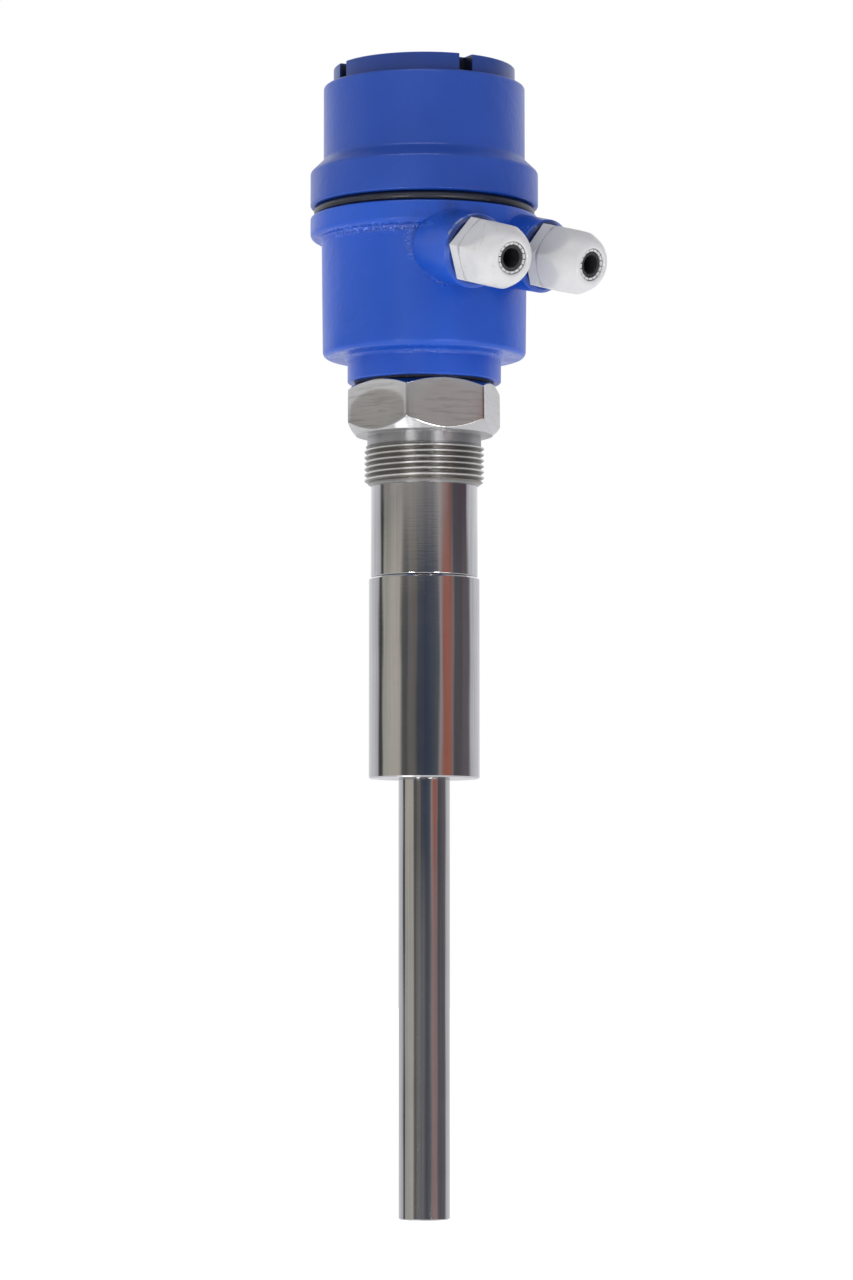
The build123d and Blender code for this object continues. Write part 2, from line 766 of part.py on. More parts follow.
# Plug on the chassis floor where the leads end
with BuildPart() as lead_plug:
    with BuildSketch(deck(plug_bottom)):
        with Locations((-lead_offset, 0)):
            Rectangle(lead_plug_size[0], lead_plug_size[1])
    extrude(amount=lead_plug_size[2])
    chamfer(lead_plug.faces().sort_by(Axis.Z)[-1].edges(), length=block_edge)
finish(lead_plug, "lead_plug")


def slotted_screws(places, seat, radius, length, start=0.0):
    """Cheese-head screws standing on a level seat, each with a straight slot in its head."""
    head_radius = radius * screw_head_ratio
    with BuildPart() as screws:
        with BuildSketch(deck(seat)):
            with Locations(*places):
                Circle(head_radius)
        extrude(amount=screw_head_height)
        with BuildSketch(deck(seat)):
            with Locations(*places):
                Circle(radius)
        extrude(amount=-length)
        with BuildSketch(deck(seat + screw_head_height)):
            with Locations(*places):
                Rectangle(2 * head_radius, screw_slot_width, rotation=start)
        extrude(amount=-screw_head_height / 2, mode=Mode.SUBTRACT)
    return screws


def polar_places(radius, angles):
    """Points at a radius and a list of angles on the deck."""
    return [(radius * cos(radians(angle)), radius * sin(radians(angle))) for angle in angles]


# Screws that hold the chassis down, and those that hold the circuit board
module_places = polar_places(module_screw_circle_radius, module_screw_angles)
module_screws = slotted_screws(
    module_places, floor_top + chassis_wall, module_screw_radius, module_screw_length, module_slot_angle
)
finish(module_screws, "module_screws")

board_places = polar_places(post_circle_radius, post_angles)
board_screws = slotted_screws(
    board_places,
    board_top,
    board_screw_radius,
    board_screw_length + board_thickness - seat_gap,
    board_slot_angle,
)
finish(board_screws, "board_screws")

# Circuit board on the chassis, cut straight on the side of the cable entries
with BuildPart() as circuit_board:
    with BuildSketch(deck(chassis_top)):
        Circle(chassis_radius)
        with Locations((board_flat + chassis_radius, 0)):
            Rectangle(2 * chassis_radius, 2 * chassis_radius, mode=Mode.SUBTRACT)
        with Locations(*board_places):
            Circle(board_screw_radius + thread_gap, mode=Mode.SUBTRACT)
    extrude(amount=board_thickness)
finish(circuit_board, "circuit_board")

# Terminal block with a screw well and a wire hole for each pole
terminal_length = terminal_count * terminal_pitch + block_edge
terminal_screw_seat = board_top + terminal_height - terminal_well_depth
terminal_rows = [(number - (terminal_count - 1) / 2) * terminal_pitch for number in range(terminal_count)]
terminal_places = [(terminal_centre, row) for row in terminal_rows]
terminal_well_radius = terminal_screw_radius * screw_head_ratio + slip_gap
with BuildPart() as terminal_block:
    with BuildSketch(deck(board_top)):
        with Locations((terminal_centre, 0)):
            Rectangle(terminal_depth, terminal_length)
    extrude(amount=terminal_height)
    chamfer(terminal_block.faces().sort_by(Axis.Z)[-1].edges(), length=block_edge)
    with BuildSketch(deck(board_top + terminal_height)):
        with Locations(*terminal_places):
            Circle(terminal_well_radius)
    extrude(amount=-terminal_well_depth, mode=Mode.SUBTRACT)
    with BuildSketch(deck(terminal_screw_seat)):
        with Locations(*terminal_places):
            Circle(terminal_screw_radius + thread_gap)
    extrude(amount=-terminal_screw_length - seat_gap, mode=Mode.SUBTRACT)
    mouth = deck(board_top + wire_hole_rise)
    face = Plane(
        origin=mouth.origin + mouth.x_dir * (terminal_centre + terminal_depth / 2),
        x_dir=mouth.y_dir,
        z_dir=mouth.x_dir,
    )
    with BuildSketch(face):
        with Locations(*[(row, 0) for row in terminal_rows]):
            Rectangle(wire_hole_width, wire_hole_height)
    extrude(amount=-wire_hole_depth, mode=Mode.SUBTRACT)
finish(terminal_block, "terminal_block")

terminal_screws = slotted_screws(
    terminal_places, terminal_screw_seat, terminal_screw_radius, terminal_screw_length, terminal_slot_angle
)
finish(terminal_screws, "terminal_screws")


def board_block(label, centre, size, base=board_top):
    """Rectangular part on the board with its top edges broken."""
    with BuildPart() as block:
        with BuildSketch(deck(base)):
            with Locations(centre):
                Rectangle(size[0], size[1])
        extrude(amount=size[2])
        chamfer(block.faces().sort_by(Axis.Z)[-1].edges(), length=block_edge)
    finish(block, label)


board_block("relay", relay_centre, relay_size)
board_block("transformer", transformer_centre, transformer_size)

# Smoothing capacitor, standing, with a rolled groove near its foot
with BuildPart() as capacitor:
    with BuildSketch(deck(board_top)):
        with Locations(capacitor_centre):
            Circle(capacitor_radius)
    extrude(amount=capacitor_height)
    chamfer(capacitor.faces().sort_by(Axis.Z)[-1].edges(), length=block_edge)
    with BuildSketch(deck(board_top + groove_rise)):
        with Locations(capacitor_centre):
            Circle(capacitor_radius)
            Circle(capacitor_radius - groove_depth, mode=Mode.SUBTRACT)
    extrude(amount=groove_height, mode=Mode.SUBTRACT)
finish(capacitor, "capacitor")

# Signal lamp with a domed top
with BuildPart() as status_led:
    with BuildSketch(deck(board_top)):
        with Locations(led_centre):
            Circle(led_radius + led_collar)
    extrude(amount=led_collar_height)
    with BuildSketch(deck(board_top)):
        with Locations(led_centre):
            Circle(led_radius)
    extrude(amount=led_height)
    fillet(status_led.faces().sort_by(Axis.Z)[-1].edges(), radius=led_dome_radius)
finish(status_led, "status_led")

# Sensitivity trimmer: a square base and a slotted knob on a stem
stem_hole_radius = knob_stem_radius + running_gap
with BuildPart() as trimmer_base:
    with BuildSketch(deck(board_top)):
        with Locations(trimmer_centre):
            Rectangle(trimmer_side, trimmer_side)
    extrude(amount=trimmer_height)
    chamfer(trimmer_base.faces().sort_by(Axis.Z)[-1].edges(), length=block_edge)
    with BuildSketch(deck(board_top + trimmer_height)):
        with Locations(trimmer_centre):
            Circle(stem_hole_radius)
    extrude(amount=-knob_stem_length - seat_gap, mode=Mode.SUBTRACT)
finish(trimmer_base, "trimmer_base")

knob_seat = board_top + trimmer_height + slip_gap
with BuildPart() as trimmer_knob:
    with BuildSketch(deck(knob_seat)):
        with Locations(trimmer_centre):
            Circle(knob_radius)
    extrude(amount=knob_height)
    chamfer(trimmer_knob.faces().sort_by(Axis.Z)[-1].edges(), length=block_edge / 2)
    with BuildSketch(deck(knob_seat + knob_height)):
        with Locations((trimmer_centre[0] + knob_radius / 2, trimmer_centre[1])):
            Rectangle(knob_slot_length, screw_slot_width)
    extrude(amount=-knob_slot_depth, mode=Mode.SUBTRACT)
    with BuildSketch(deck(knob_seat)):
        with Locations(trimmer_centre):
            Circle(knob_stem_radius)
    extrude(amount=-knob_stem_length - slip_gap)
finish(trimmer_knob, "trimmer_knob")

# Mode switch: a body with a slot and a slider that stands out of it
slot_depth = slider_size[2] / 2
slot_length = slider_size[1] + slider_travel + 2 * slip_gap
switch_top = board_top + switch_size[2]
with BuildPart() as switch_body:
    with BuildSketch(deck(board_top)):
        with Locations(switch_centre):
            Rectangle(switch_size[0], switch_size[1])
    extrude(amount=switch_size[2])
    chamfer(switch_body.faces().sort_by(Axis.Z)[-1].edges(), length=block_edge)
    with BuildSketch(deck(switch_top)):
        with Locations(switch_centre):
            Rectangle(slider_size[0] + 2 * slip_gap, slot_length)
    extrude(amount=-slot_depth - slip_gap, mode=Mode.SUBTRACT)
finish(switch_body, "switch_body")

with BuildPart() as switch_slider:
    with BuildSketch(deck(switch_top - slot_depth)):
        with Locations((switch_centre[0], switch_centre[1] - slider_travel / 2)):
            Rectangle(slider_size[0], slider_size[1])
    extrude(amount=slider_size[2])
    chamfer(switch_slider.faces().sort_by(Axis.Z)[-1].edges(), length=block_edge / 2)
finish(switch_slider, "switch_slider")

# Earth screw and its clamping washer on the housing floor
with BuildPart() as earth_washer:
    with BuildSketch(deck(floor_top)):
        with Locations((earth_screw_offset, 0)):
            Circle(earth_washer_radius)
            Circle(earth_screw_radius + slip_gap, mode=Mode.SUBTRACT)
    extrude(amount=earth_washer_thickness)
finish(earth_washer, "earth_washer")

earth_screw = slotted_screws(
    [(earth_screw_offset, 0)], floor_top + earth_washer_thickness, earth_screw_radius, earth_screw_length
)
finish(earth_screw, "earth_screw")
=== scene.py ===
import bpy
import numpy as np
from math import cos, sin, tan, radians, pi
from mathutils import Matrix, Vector


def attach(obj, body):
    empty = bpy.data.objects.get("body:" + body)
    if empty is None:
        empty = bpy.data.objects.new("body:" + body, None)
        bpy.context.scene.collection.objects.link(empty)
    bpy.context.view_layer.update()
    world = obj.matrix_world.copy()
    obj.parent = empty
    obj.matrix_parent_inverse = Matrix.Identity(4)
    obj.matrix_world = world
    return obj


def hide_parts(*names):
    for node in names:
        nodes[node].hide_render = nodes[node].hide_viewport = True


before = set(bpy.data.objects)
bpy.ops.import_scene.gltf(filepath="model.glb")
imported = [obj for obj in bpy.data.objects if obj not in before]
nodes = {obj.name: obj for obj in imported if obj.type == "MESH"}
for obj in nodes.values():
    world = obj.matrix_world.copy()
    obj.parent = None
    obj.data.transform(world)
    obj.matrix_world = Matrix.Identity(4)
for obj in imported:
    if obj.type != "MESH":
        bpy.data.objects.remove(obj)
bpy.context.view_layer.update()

mm = 0.001
fullTurn = 2 * pi
weldStep = 2e-7  # points nearer than this become one


def meshFromGrid(name, grid, closeAcross=True, closeAlong=False, sharpAngle=38):
    # A surface from a grid of rows x columns x 3 points in metres: each quad joins the four
    # points (i,j) (i,j+1) (i+1,j+1) (i+1,j), points that coincide are welded, and a quad with
    # two equal corners becomes a triangle, so a row that shrinks to one point is a closed pole.
    rows, columns = grid.shape[:2]
    points = grid.reshape(-1, 3)
    keys = np.round(points / weldStep).astype(np.int64)
    unique, first, number = np.unique(keys, axis=0, return_index=True, return_inverse=True)
    number = number.ravel()
    i = np.arange(rows if closeAlong else rows - 1)[:, None]
    j = np.arange(columns if closeAcross else columns - 1)[None, :]
    ni, nj = (i + 1) % rows, (j + 1) % columns
    quads = np.stack([i * columns + j, i * columns + nj, ni * columns + nj, ni * columns + j], axis=-1)
    quads = number[quads.reshape(-1, 4)]
    same = quads == np.roll(quads, -1, axis=1)
    whole = quads[~same.any(axis=1)]
    folded = quads[same.sum(axis=1) == 1]
    kept = ~same[same.sum(axis=1) == 1]
    triangles = folded[kept].reshape(-1, 3)
    corners = np.concatenate([whole.ravel(), triangles.ravel()]).astype(np.int32)
    sizes = np.concatenate([np.full(len(whole), 4), np.full(len(triangles), 3)]).astype(np.int32)
    starts = np.concatenate([[0], np.cumsum(sizes)[:-1]]).astype(np.int32)
    mesh = bpy.data.meshes.new(name)
    mesh.vertices.add(len(unique))
    mesh.vertices.foreach_set("co", points[first].astype(np.float32).ravel())
    mesh.loops.add(len(corners))
    mesh.loops.foreach_set("vertex_index", corners)
    mesh.polygons.add(len(sizes))
    mesh.polygons.foreach_set("loop_start", starts)
    mesh.polygons.foreach_set("loop_total", sizes)
    mesh.update(calc_edges=True)
    mesh.validate()
    if sharpAngle:
        mesh.set_sharp_from_angle(angle=radians(sharpAngle))
    piece = bpy.data.objects.new(name, mesh)
    bpy.context.scene.collection.objects.link(piece)
    return piece


def softCorners(outline, size, steps=4):
    # Each corner P of a closed outline (n x ... x 2) gives way to the curve
    # (1-t)^2 A + 2t(1-t) P + t^2 B, where A and B lie "size" back along its two sides,
    # with one more point beyond each end so that the flats shade flat.
    size = np.asarray(size, float).reshape((-1,) + (1,) * (outline.ndim - 1))
    back = np.roll(outline, 1, axis=0) - outline
    ahead = np.roll(outline, -1, axis=0) - outline
    backLong = np.linalg.norm(back, axis=-1, keepdims=True) + 1e-12
    aheadLong = np.linalg.norm(ahead, axis=-1, keepdims=True) + 1e-12
    cutBack, cutAhead = np.minimum(size, backLong * 0.4), np.minimum(size, aheadLong * 0.4)
    a, b = outline + back / backLong * cutBack, outline + ahead / aheadLong * cutAhead
    rows = [outline + back / backLong * cutBack * 1.2]
    for t in np.linspace(0, 1, steps):
        rows.append((1 - t) ** 2 * a + 2 * t * (1 - t) * outline + t ** 2 * b)
    rows.append(outline + ahead / aheadLong * cutAhead * 1.2)
    return np.stack(rows, axis=1).reshape((-1,) + outline.shape[1:])


def aroundAxis(rows, angle, origin=(0, 0, 0), across=(1, 0, 0), axis=(0, 0, 1)):
    # Rows of (radius, height) in mm for every angle become points
    # origin + axis * height + radius * (across * cos a + up * sin a), in metres.
    origin, across, axis = (np.array(v, float) for v in (origin, across, axis))
    ring = across * np.cos(angle)[:, None] + np.cross(axis, across) * np.sin(angle)[:, None]
    return (origin + axis * rows[..., 1:] + rows[..., :1] * ring[None]) * mm


def polygonRadius(angle, flat, sides, power):
    # A regular polygon with soft corners: r(a) = flat * (sum of cos(a - side)^p)^(-1/p).
    # The second result says how much each side counts at each angle.
    reach = np.maximum(np.cos(angle[:, None] - sides), 0) ** power
    total = reach.sum(axis=1)
    return flat * total ** (-1 / power), reach / total[:, None]


def polygonAngles(turn):
    # Angles round a hexagon, close together near its corners at turn + 60k degrees.
    near = np.array([0, 0.2, 0.4, 0.6, 0.8, 1.1, 1.5, 2.1, 3.0, 4.2, 5.8, 8.0, 10.5, 13.5, 16.8, 20.2, 23.4, 26.8])
    sector = np.concatenate([-near[:0:-1], near, [30.0]])
    return np.sort(np.radians((turn + sector[None] + np.arange(6)[:, None] * 60).ravel()))


def smoothNode(name, angle=32):
    # A CAD node's loose triangles shade smooth between its real edges.
    piece = nodes[name]
    weld = piece.modifiers.new("weld", "WELD")
    weld.merge_threshold = 2e-6
    split = piece.modifiers.new("edges", "EDGE_SPLIT")
    split.split_angle = radians(angle)


# Materials: small helpers that add one node each and hand back its output

def newMaterial(name):
    material = bpy.data.materials.new(name)
    material.use_nodes = True
    return material, material.node_tree, material.node_tree.nodes["Principled BSDF"]


def feed(tree, socket, value):
    if isinstance(value, bpy.types.NodeSocket):
        tree.links.new(value, socket)
    elif socket.type == "RGBA" and not np.isscalar(value):
        socket.default_value = (*value, 1)
    else:
        socket.default_value = value


def objectPlace(tree, scale=(1, 1, 1)):
    place = tree.nodes.new("ShaderNodeTexCoord")
    mapping = tree.nodes.new("ShaderNodeMapping")
    mapping.inputs["Scale"].default_value = scale
    tree.links.new(place.outputs["Object"], mapping.inputs["Vector"])
    return mapping.outputs["Vector"]


def objectAxes(tree):
    place = tree.nodes.new("ShaderNodeTexCoord")
    parts = tree.nodes.new("ShaderNodeSeparateXYZ")
    tree.links.new(place.outputs["Object"], parts.inputs["Vector"])
    return parts.outputs["X"], parts.outputs["Y"], parts.outputs["Z"]


def flatPlace(tree, across, up, rates):
    place = tree.nodes.new("ShaderNodeCombineXYZ")
    for key, value, rate in (("X", across, rates[0]), ("Y", up, rates[1])):
        tree.links.new(mathOf(tree, "MULTIPLY", value, rate), place.inputs[key])
    return place.outputs["Vector"]


def lengthOf(tree, first, second):
    return mathOf(tree, "SQRT", mathOf(tree, "ADD", product(tree, first, first), product(tree, second, second)))


def azimuthOf(tree, x, y):
    # angle round the vertical axis, 0 on the camera's side and rising to the right
    return mathOf(tree, "ARCTAN2", x, mathOf(tree, "MULTIPLY", y, -1.0))


def noiseAt(tree, place, scale, detail=2.0, roughness=0.5, distortion=0.0):
    noise = tree.nodes.new("ShaderNodeTexNoise")
    noise.inputs["Scale"].default_value = scale
    noise.inputs["Detail"].default_value = detail
    noise.inputs["Roughness"].default_value = roughness
    noise.inputs["Distortion"].default_value = distortion
    tree.links.new(place, noise.inputs["Vector"])
    return noise.outputs["Fac"]


def rampOf(tree, value, stops):
    # Stops are given in rising order; the two that a new ramp has are moved to the ends.
    ramp = tree.nodes.new("ShaderNodeValToRGB")
    elements = ramp.color_ramp.elements
    elements[0].position, elements[-1].position = stops[0][0], stops[-1][0]
    for position, colour in stops[1:-1]:
        elements.new(position)
    for element, (position, colour) in zip(elements, stops):
        element.color = (*colour, 1)
    tree.links.new(value, ramp.inputs["Fac"])
    return ramp.outputs["Color"]


def rangeOf(tree, value, fromLow, fromHigh, toLow=0.0, toHigh=1.0):
    scaled = tree.nodes.new("ShaderNodeMapRange")
    for key, number in (("From Min", fromLow), ("From Max", fromHigh), ("To Min", toLow), ("To Max", toHigh)):
        scaled.inputs[key].default_value = number
    tree.links.new(value, scaled.inputs["Value"])
    return scaled.outputs["Result"]


def mixOf(tree, factor, first, second):
    mix = tree.nodes.new("ShaderNodeMix")
    mix.data_type = "RGBA"
    for key, value in (("Factor", factor), ("A", first), ("B", second)):
        feed(tree, mix.inputs[0 if key == "Factor" else 6 if key == "A" else 7], value)
    return mix.outputs[2]


def mathOf(tree, operation, first, second=0.0):
    node = tree.nodes.new("ShaderNodeMath")
    node.operation = operation
    feed(tree, node.inputs[0], first)
    feed(tree, node.inputs[1], second)
    return node.outputs["Value"]


def vectorOf(tree, operation, first, second):
    node = tree.nodes.new("ShaderNodeVectorMath")
    node.operation = operation
    feed(tree, node.inputs[0], first)
    feed(tree, node.inputs["Scale" if operation == "SCALE" else 1], second)
    return node.outputs["Value" if operation == "DOT_PRODUCT" else "Vector"]


def within(tree, value, low, high, soft):
    # 1 between low and high, fading to 0 over "soft" on each side
    rise = rangeOf(tree, value, low - soft, low)
    fall = rangeOf(tree, value, high, high + soft, 1.0, 0.0)
    return mathOf(tree, "MULTIPLY", rise, fall)


def product(tree, *values):
    total = values[0]
    for value in values[1:]:
        total = mathOf(tree, "MULTIPLY", total, value)
    return total


def bumpFrom(tree, shader, heights):
    # Heights are (value, strength, distance) and are stacked one on the other.
    last = None
    for value, strength, distance in heights:
        bump = tree.nodes.new("ShaderNodeBump")
        feed(tree, bump.inputs["Strength"], strength)
        bump.inputs["Distance"].default_value = distance
        tree.links.new(value, bump.inputs["Height"])
        if last is not None:
            tree.links.new(last, bump.inputs["Normal"])
        last = bump.outputs["Normal"]
    tree.links.new(last, shader.inputs["Normal"])


# cable entries: the frame of each gland, in mm, as the CAD has it
entry = {
    "seats": ((20.6536, -53.7895, 69.8), (48.32, -31.3857, 71.25)),
    "azimuths": (33.5, 45.0), "tilt": 14.0, "turns": (-6.0, -3.0),
}


def entryFrame(number):
    # seat, direction across and direction out of the head
    azimuth, tilt = radians(entry["azimuths"][number]), radians(entry["tilt"])
    axis = (sin(azimuth) * cos(tilt), -cos(azimuth) * cos(tilt), -sin(tilt))
    return entry["seats"][number], (cos(azimuth), sin(azimuth), 0.0), axis


def entryPlace(tree, place, number):
    # distance out along a gland's axis, distance from that axis and angle round it
    seat, across, axis = entryFrame(number)
    up = tuple(np.cross(axis, across))
    local = vectorOf(tree, "SUBTRACT", place, tuple(c * mm for c in seat))
    out = vectorOf(tree, "DOT_PRODUCT", local, axis)
    side = vectorOf(tree, "DOT_PRODUCT", local, across)
    rise = vectorOf(tree, "DOT_PRODUCT", local, up)
    return out, lengthOf(tree, side, rise), mathOf(tree, "ARCTAN2", rise, side)


paint = {
    # the cover's enamel colour is set darker than the head's
    "head": (0.0045, 0.067, 0.440), "cover": (0.0060, 0.052, 0.335), "drift": 0.10,
    "roughness": 0.33, "specular": 0.43, "runSpecular": 0.85,
    # sizes of the noises, in cells per metre
    "driftSize": 22.0, "speckSize": 900.0, "castSize": 95.0, "peelSize": 420.0, "grainSize": 1500.0,
    "patchSize": 55.0, "bubbleSize": 780.0, "smearSize": 75.0, "rubSize": 330.0,
    # cover: its raised disc and the notches in that; the disc's darker paint tone is also the painted shade inside
    # the notches
    "discDull": 0.42, "notchFloor": 0.1443, "notchTop": 0.1513, "notchInside": 0.0359,
    "dullPaintAndNotchShade": (0.004, 0.007, 0.024),
    # head: thick paint at the roots of flange, neck and bosses, by height, azimuth and radius, with painted glints
    # of lighter blue on its bubbles
    "flangeRoot": 0.0818, "neckRoot": 0.0347, "runs": (-0.95, -0.08), "runGlintTone": (0.10, 0.26, 0.95),
    "barrelSkin": (0.0385, 0.0418), "bossSeam": (0.0143, 0.0158),
    # head: grime, and dirt with painted shade round each gland's foot, by distance from a boss's axis, height,
    # place along that axis and angle round it
    "grimeAndShade": (0.010, 0.018, 0.070), "smearRing": (0.0140, 0.0165), "smearRise": (0.073, 0.081),
    "seatFace": (-0.0012, -0.0008), "seatRim": (0.0145, 0.0140), "seatArc": (1.6, 2.9),
    "worn": (0.19, 0.22, 0.31), "rimFace": (-0.0019, -0.0013), "rimEdge": (0.0140, 0.0150),
    "rimArc": (1.75, 2.75),
}


def enamelMaterial(name, colour, casting):
    # Sprayed enamel on a casting: orange peel, slow colour drift and a little dust. The head's
    # paint also has thick bubbly runs in its roots with painted glints on their bubbles, grime
    # and painted shade round the bosses and a worn rim; the cover has painted shade in its notches.
    material, tree, shader = newMaterial(name)
    place = objectPlace(tree)
    x, y, z = objectAxes(tree)
    fromAxis = lengthOf(tree, x, y)
    drift = noiseAt(tree, place, paint["driftSize"], 3.0, 0.55)
    low, high = 1 - paint["drift"], 1 + paint["drift"]
    tone = rampOf(tree, drift, ((0.3, tuple(c * low for c in colour)), (0.7, tuple(c * high for c in colour))))
    specks = noiseAt(tree, place, paint["speckSize"], 2.0, 0.6)
    tone = mixOf(tree, rangeOf(tree, specks, 0.66, 0.78, 0.0, 0.55), tone, tuple(c * 0.45 for c in colour))
    rough = rangeOf(tree, drift, 0.3, 0.7, paint["roughness"] - 0.05, paint["roughness"] + 0.07)
    peel = noiseAt(tree, place, paint["peelSize"], 2.0, 0.5)
    grain = noiseAt(tree, place, paint["grainSize"], 2.0, 0.5)
    cast = noiseAt(tree, place, paint["castSize"], 2.0, 0.5)
    heights = [(cast, 0.30, 0.0010), (peel, 0.30, 0.0003), (grain, 0.18, 0.0001)]
    specular = paint["specular"]
    if casting:
        azimuth = azimuthOf(tree, x, y)
        patches = rangeOf(tree, noiseAt(tree, place, paint["patchSize"], 2.0, 0.6), 0.46, 0.58)
        inRuns = within(tree, azimuth, *paint["runs"], 0.12)
        spread = mathOf(tree, "MAXIMUM", inRuns, rangeOf(tree, patches, 0.0, 1.0, 0.0, 0.55))
        flange, neck = paint["flangeRoot"], paint["neckRoot"]
        flangeRuns = product(tree, within(tree, z, flange - 0.0009, flange + 0.0009, 0.0009), spread)
        neckRuns = product(tree, within(tree, z, neck - 0.0008, neck + 0.0006, 0.0005), patches)
        bubbles = noiseAt(tree, place, paint["bubbleSize"], 2.5, 0.65, 0.4)
        runs = mathOf(tree, "MAXIMUM", flangeRuns, mathOf(tree, "MULTIPLY", neckRuns, 0.6))
        outOne, farOne, angleOne = entryPlace(tree, place, 0)
        outTwo, farTwo, angleTwo = entryPlace(tree, place, 1)
        atBarrel = within(tree, fromAxis, *paint["barrelSkin"], 0.0008)
        for far in (farOne, farTwo):
            seam = product(tree, within(tree, far, *paint["bossSeam"], 0.0008), atBarrel, patches)
            runs = mathOf(tree, "MAXIMUM", runs, mathOf(tree, "MULTIPLY", seam, 0.55))
        heights.append((bubbles, runs, 0.0010))
        rough = mathOf(tree, "SUBTRACT", rough, mathOf(tree, "MULTIPLY", runs, 0.18))
        # painted glints: the bubbles of the runs are painted a lighter blue
        tone = mixOf(tree, product(tree, runs, rangeOf(tree, bubbles, 0.56, 0.64), 0.95), tone, paint["runGlintTone"])
        specular = rangeOf(tree, runs, 0.0, 1.0, paint["specular"], paint["runSpecular"])
        # grime between the nearer boss and the flange, and dirt with painted shade round the foot of each gland
        smear = rangeOf(tree, noiseAt(tree, place, paint["smearSize"], 4.0, 0.65, 0.5), 0.47, 0.68)
        nearBoss = within(tree, farOne, *paint["smearRing"], 0.004)
        dirtAndShade = product(tree, smear, nearBoss, rangeOf(tree, z, *paint["smearRise"]), 0.5)
        for out, far, angle in ((outOne, farOne, angleOne), (outTwo, farTwo, angleTwo)):
            seat = product(tree, rangeOf(tree, out, *paint["seatFace"]), rangeOf(tree, far, *paint["seatRim"]))
            # painted shade: heavier on the upper side of each seat, where its rim face turns up
            above = within(tree, angle, *paint["seatArc"], 0.3)
            dirtAndShade = mathOf(tree, "MAXIMUM", dirtAndShade, product(tree, seat, rangeOf(tree, above, 0.0, 1.0, 0.3, 0.85)))
        tone = mixOf(tree, dirtAndShade, tone, paint["grimeAndShade"])
        # the nearer boss has lost its paint along part of the rim
        rub = rangeOf(tree, noiseAt(tree, place, paint["rubSize"], 3.0, 0.7), 0.46, 0.54)
        rimFace = within(tree, outOne, *paint["rimFace"], 0.0002)
        rimEdge = within(tree, farOne, *paint["rimEdge"], 0.0002)
        bare = product(tree, rimFace, rimEdge, within(tree, angleOne, *paint["rimArc"], 0.15), rub)
        tone = mixOf(tree, bare, tone, paint["worn"])
    else:
        # the raised disc is duller, and painted shade darkens the inside of its notches
        disc = within(tree, z, paint["notchFloor"], paint["notchTop"], 0.0002)
        tone = mixOf(tree, mathOf(tree, "MULTIPLY", disc, paint["discDull"]), tone, paint["dullPaintAndNotchShade"])
        # painted shade: the notch walls inside the disc's radius take the dark tone
        inside = rangeOf(tree, fromAxis, paint["notchInside"] - 0.0004, paint["notchInside"], 1.0, 0.0)
        tone = mixOf(tree, product(tree, disc, inside), tone, paint["dullPaintAndNotchShade"])
    feed(tree, shader.inputs["Base Color"], tone)
    feed(tree, shader.inputs["Roughness"], rough)
    feed(tree, shader.inputs["Specular IOR Level"], specular)
    shader.inputs["IOR"].default_value = 1.5
    bumpFrom(tree, shader, heights)
    return material


steel = {
    "colour": (0.51, 0.51, 0.525), "polished": 0.075, "turned": 0.44, "hex": 0.11, "plain": 0.22,
    "cloudSize": 60.0, "pitSize": 1700.0, "lineSize": 2600.0, "strokeSize": 70.0, "waveSize": 90.0,
    # turned steel: how much darker it is, then the thread's heights, the radii of its crests and
    # of its grooves, and the colours of both: a painted highlight on the crests and painted shade in the grooves
    "turnedTone": 0.77, "threadSpan": (-0.0153, -0.0012), "groove": (0.02376, 0.02342),
    "crest": (0.70, 0.70, 0.70), "grooveShade": (0.25, 0.24, 0.225),
}


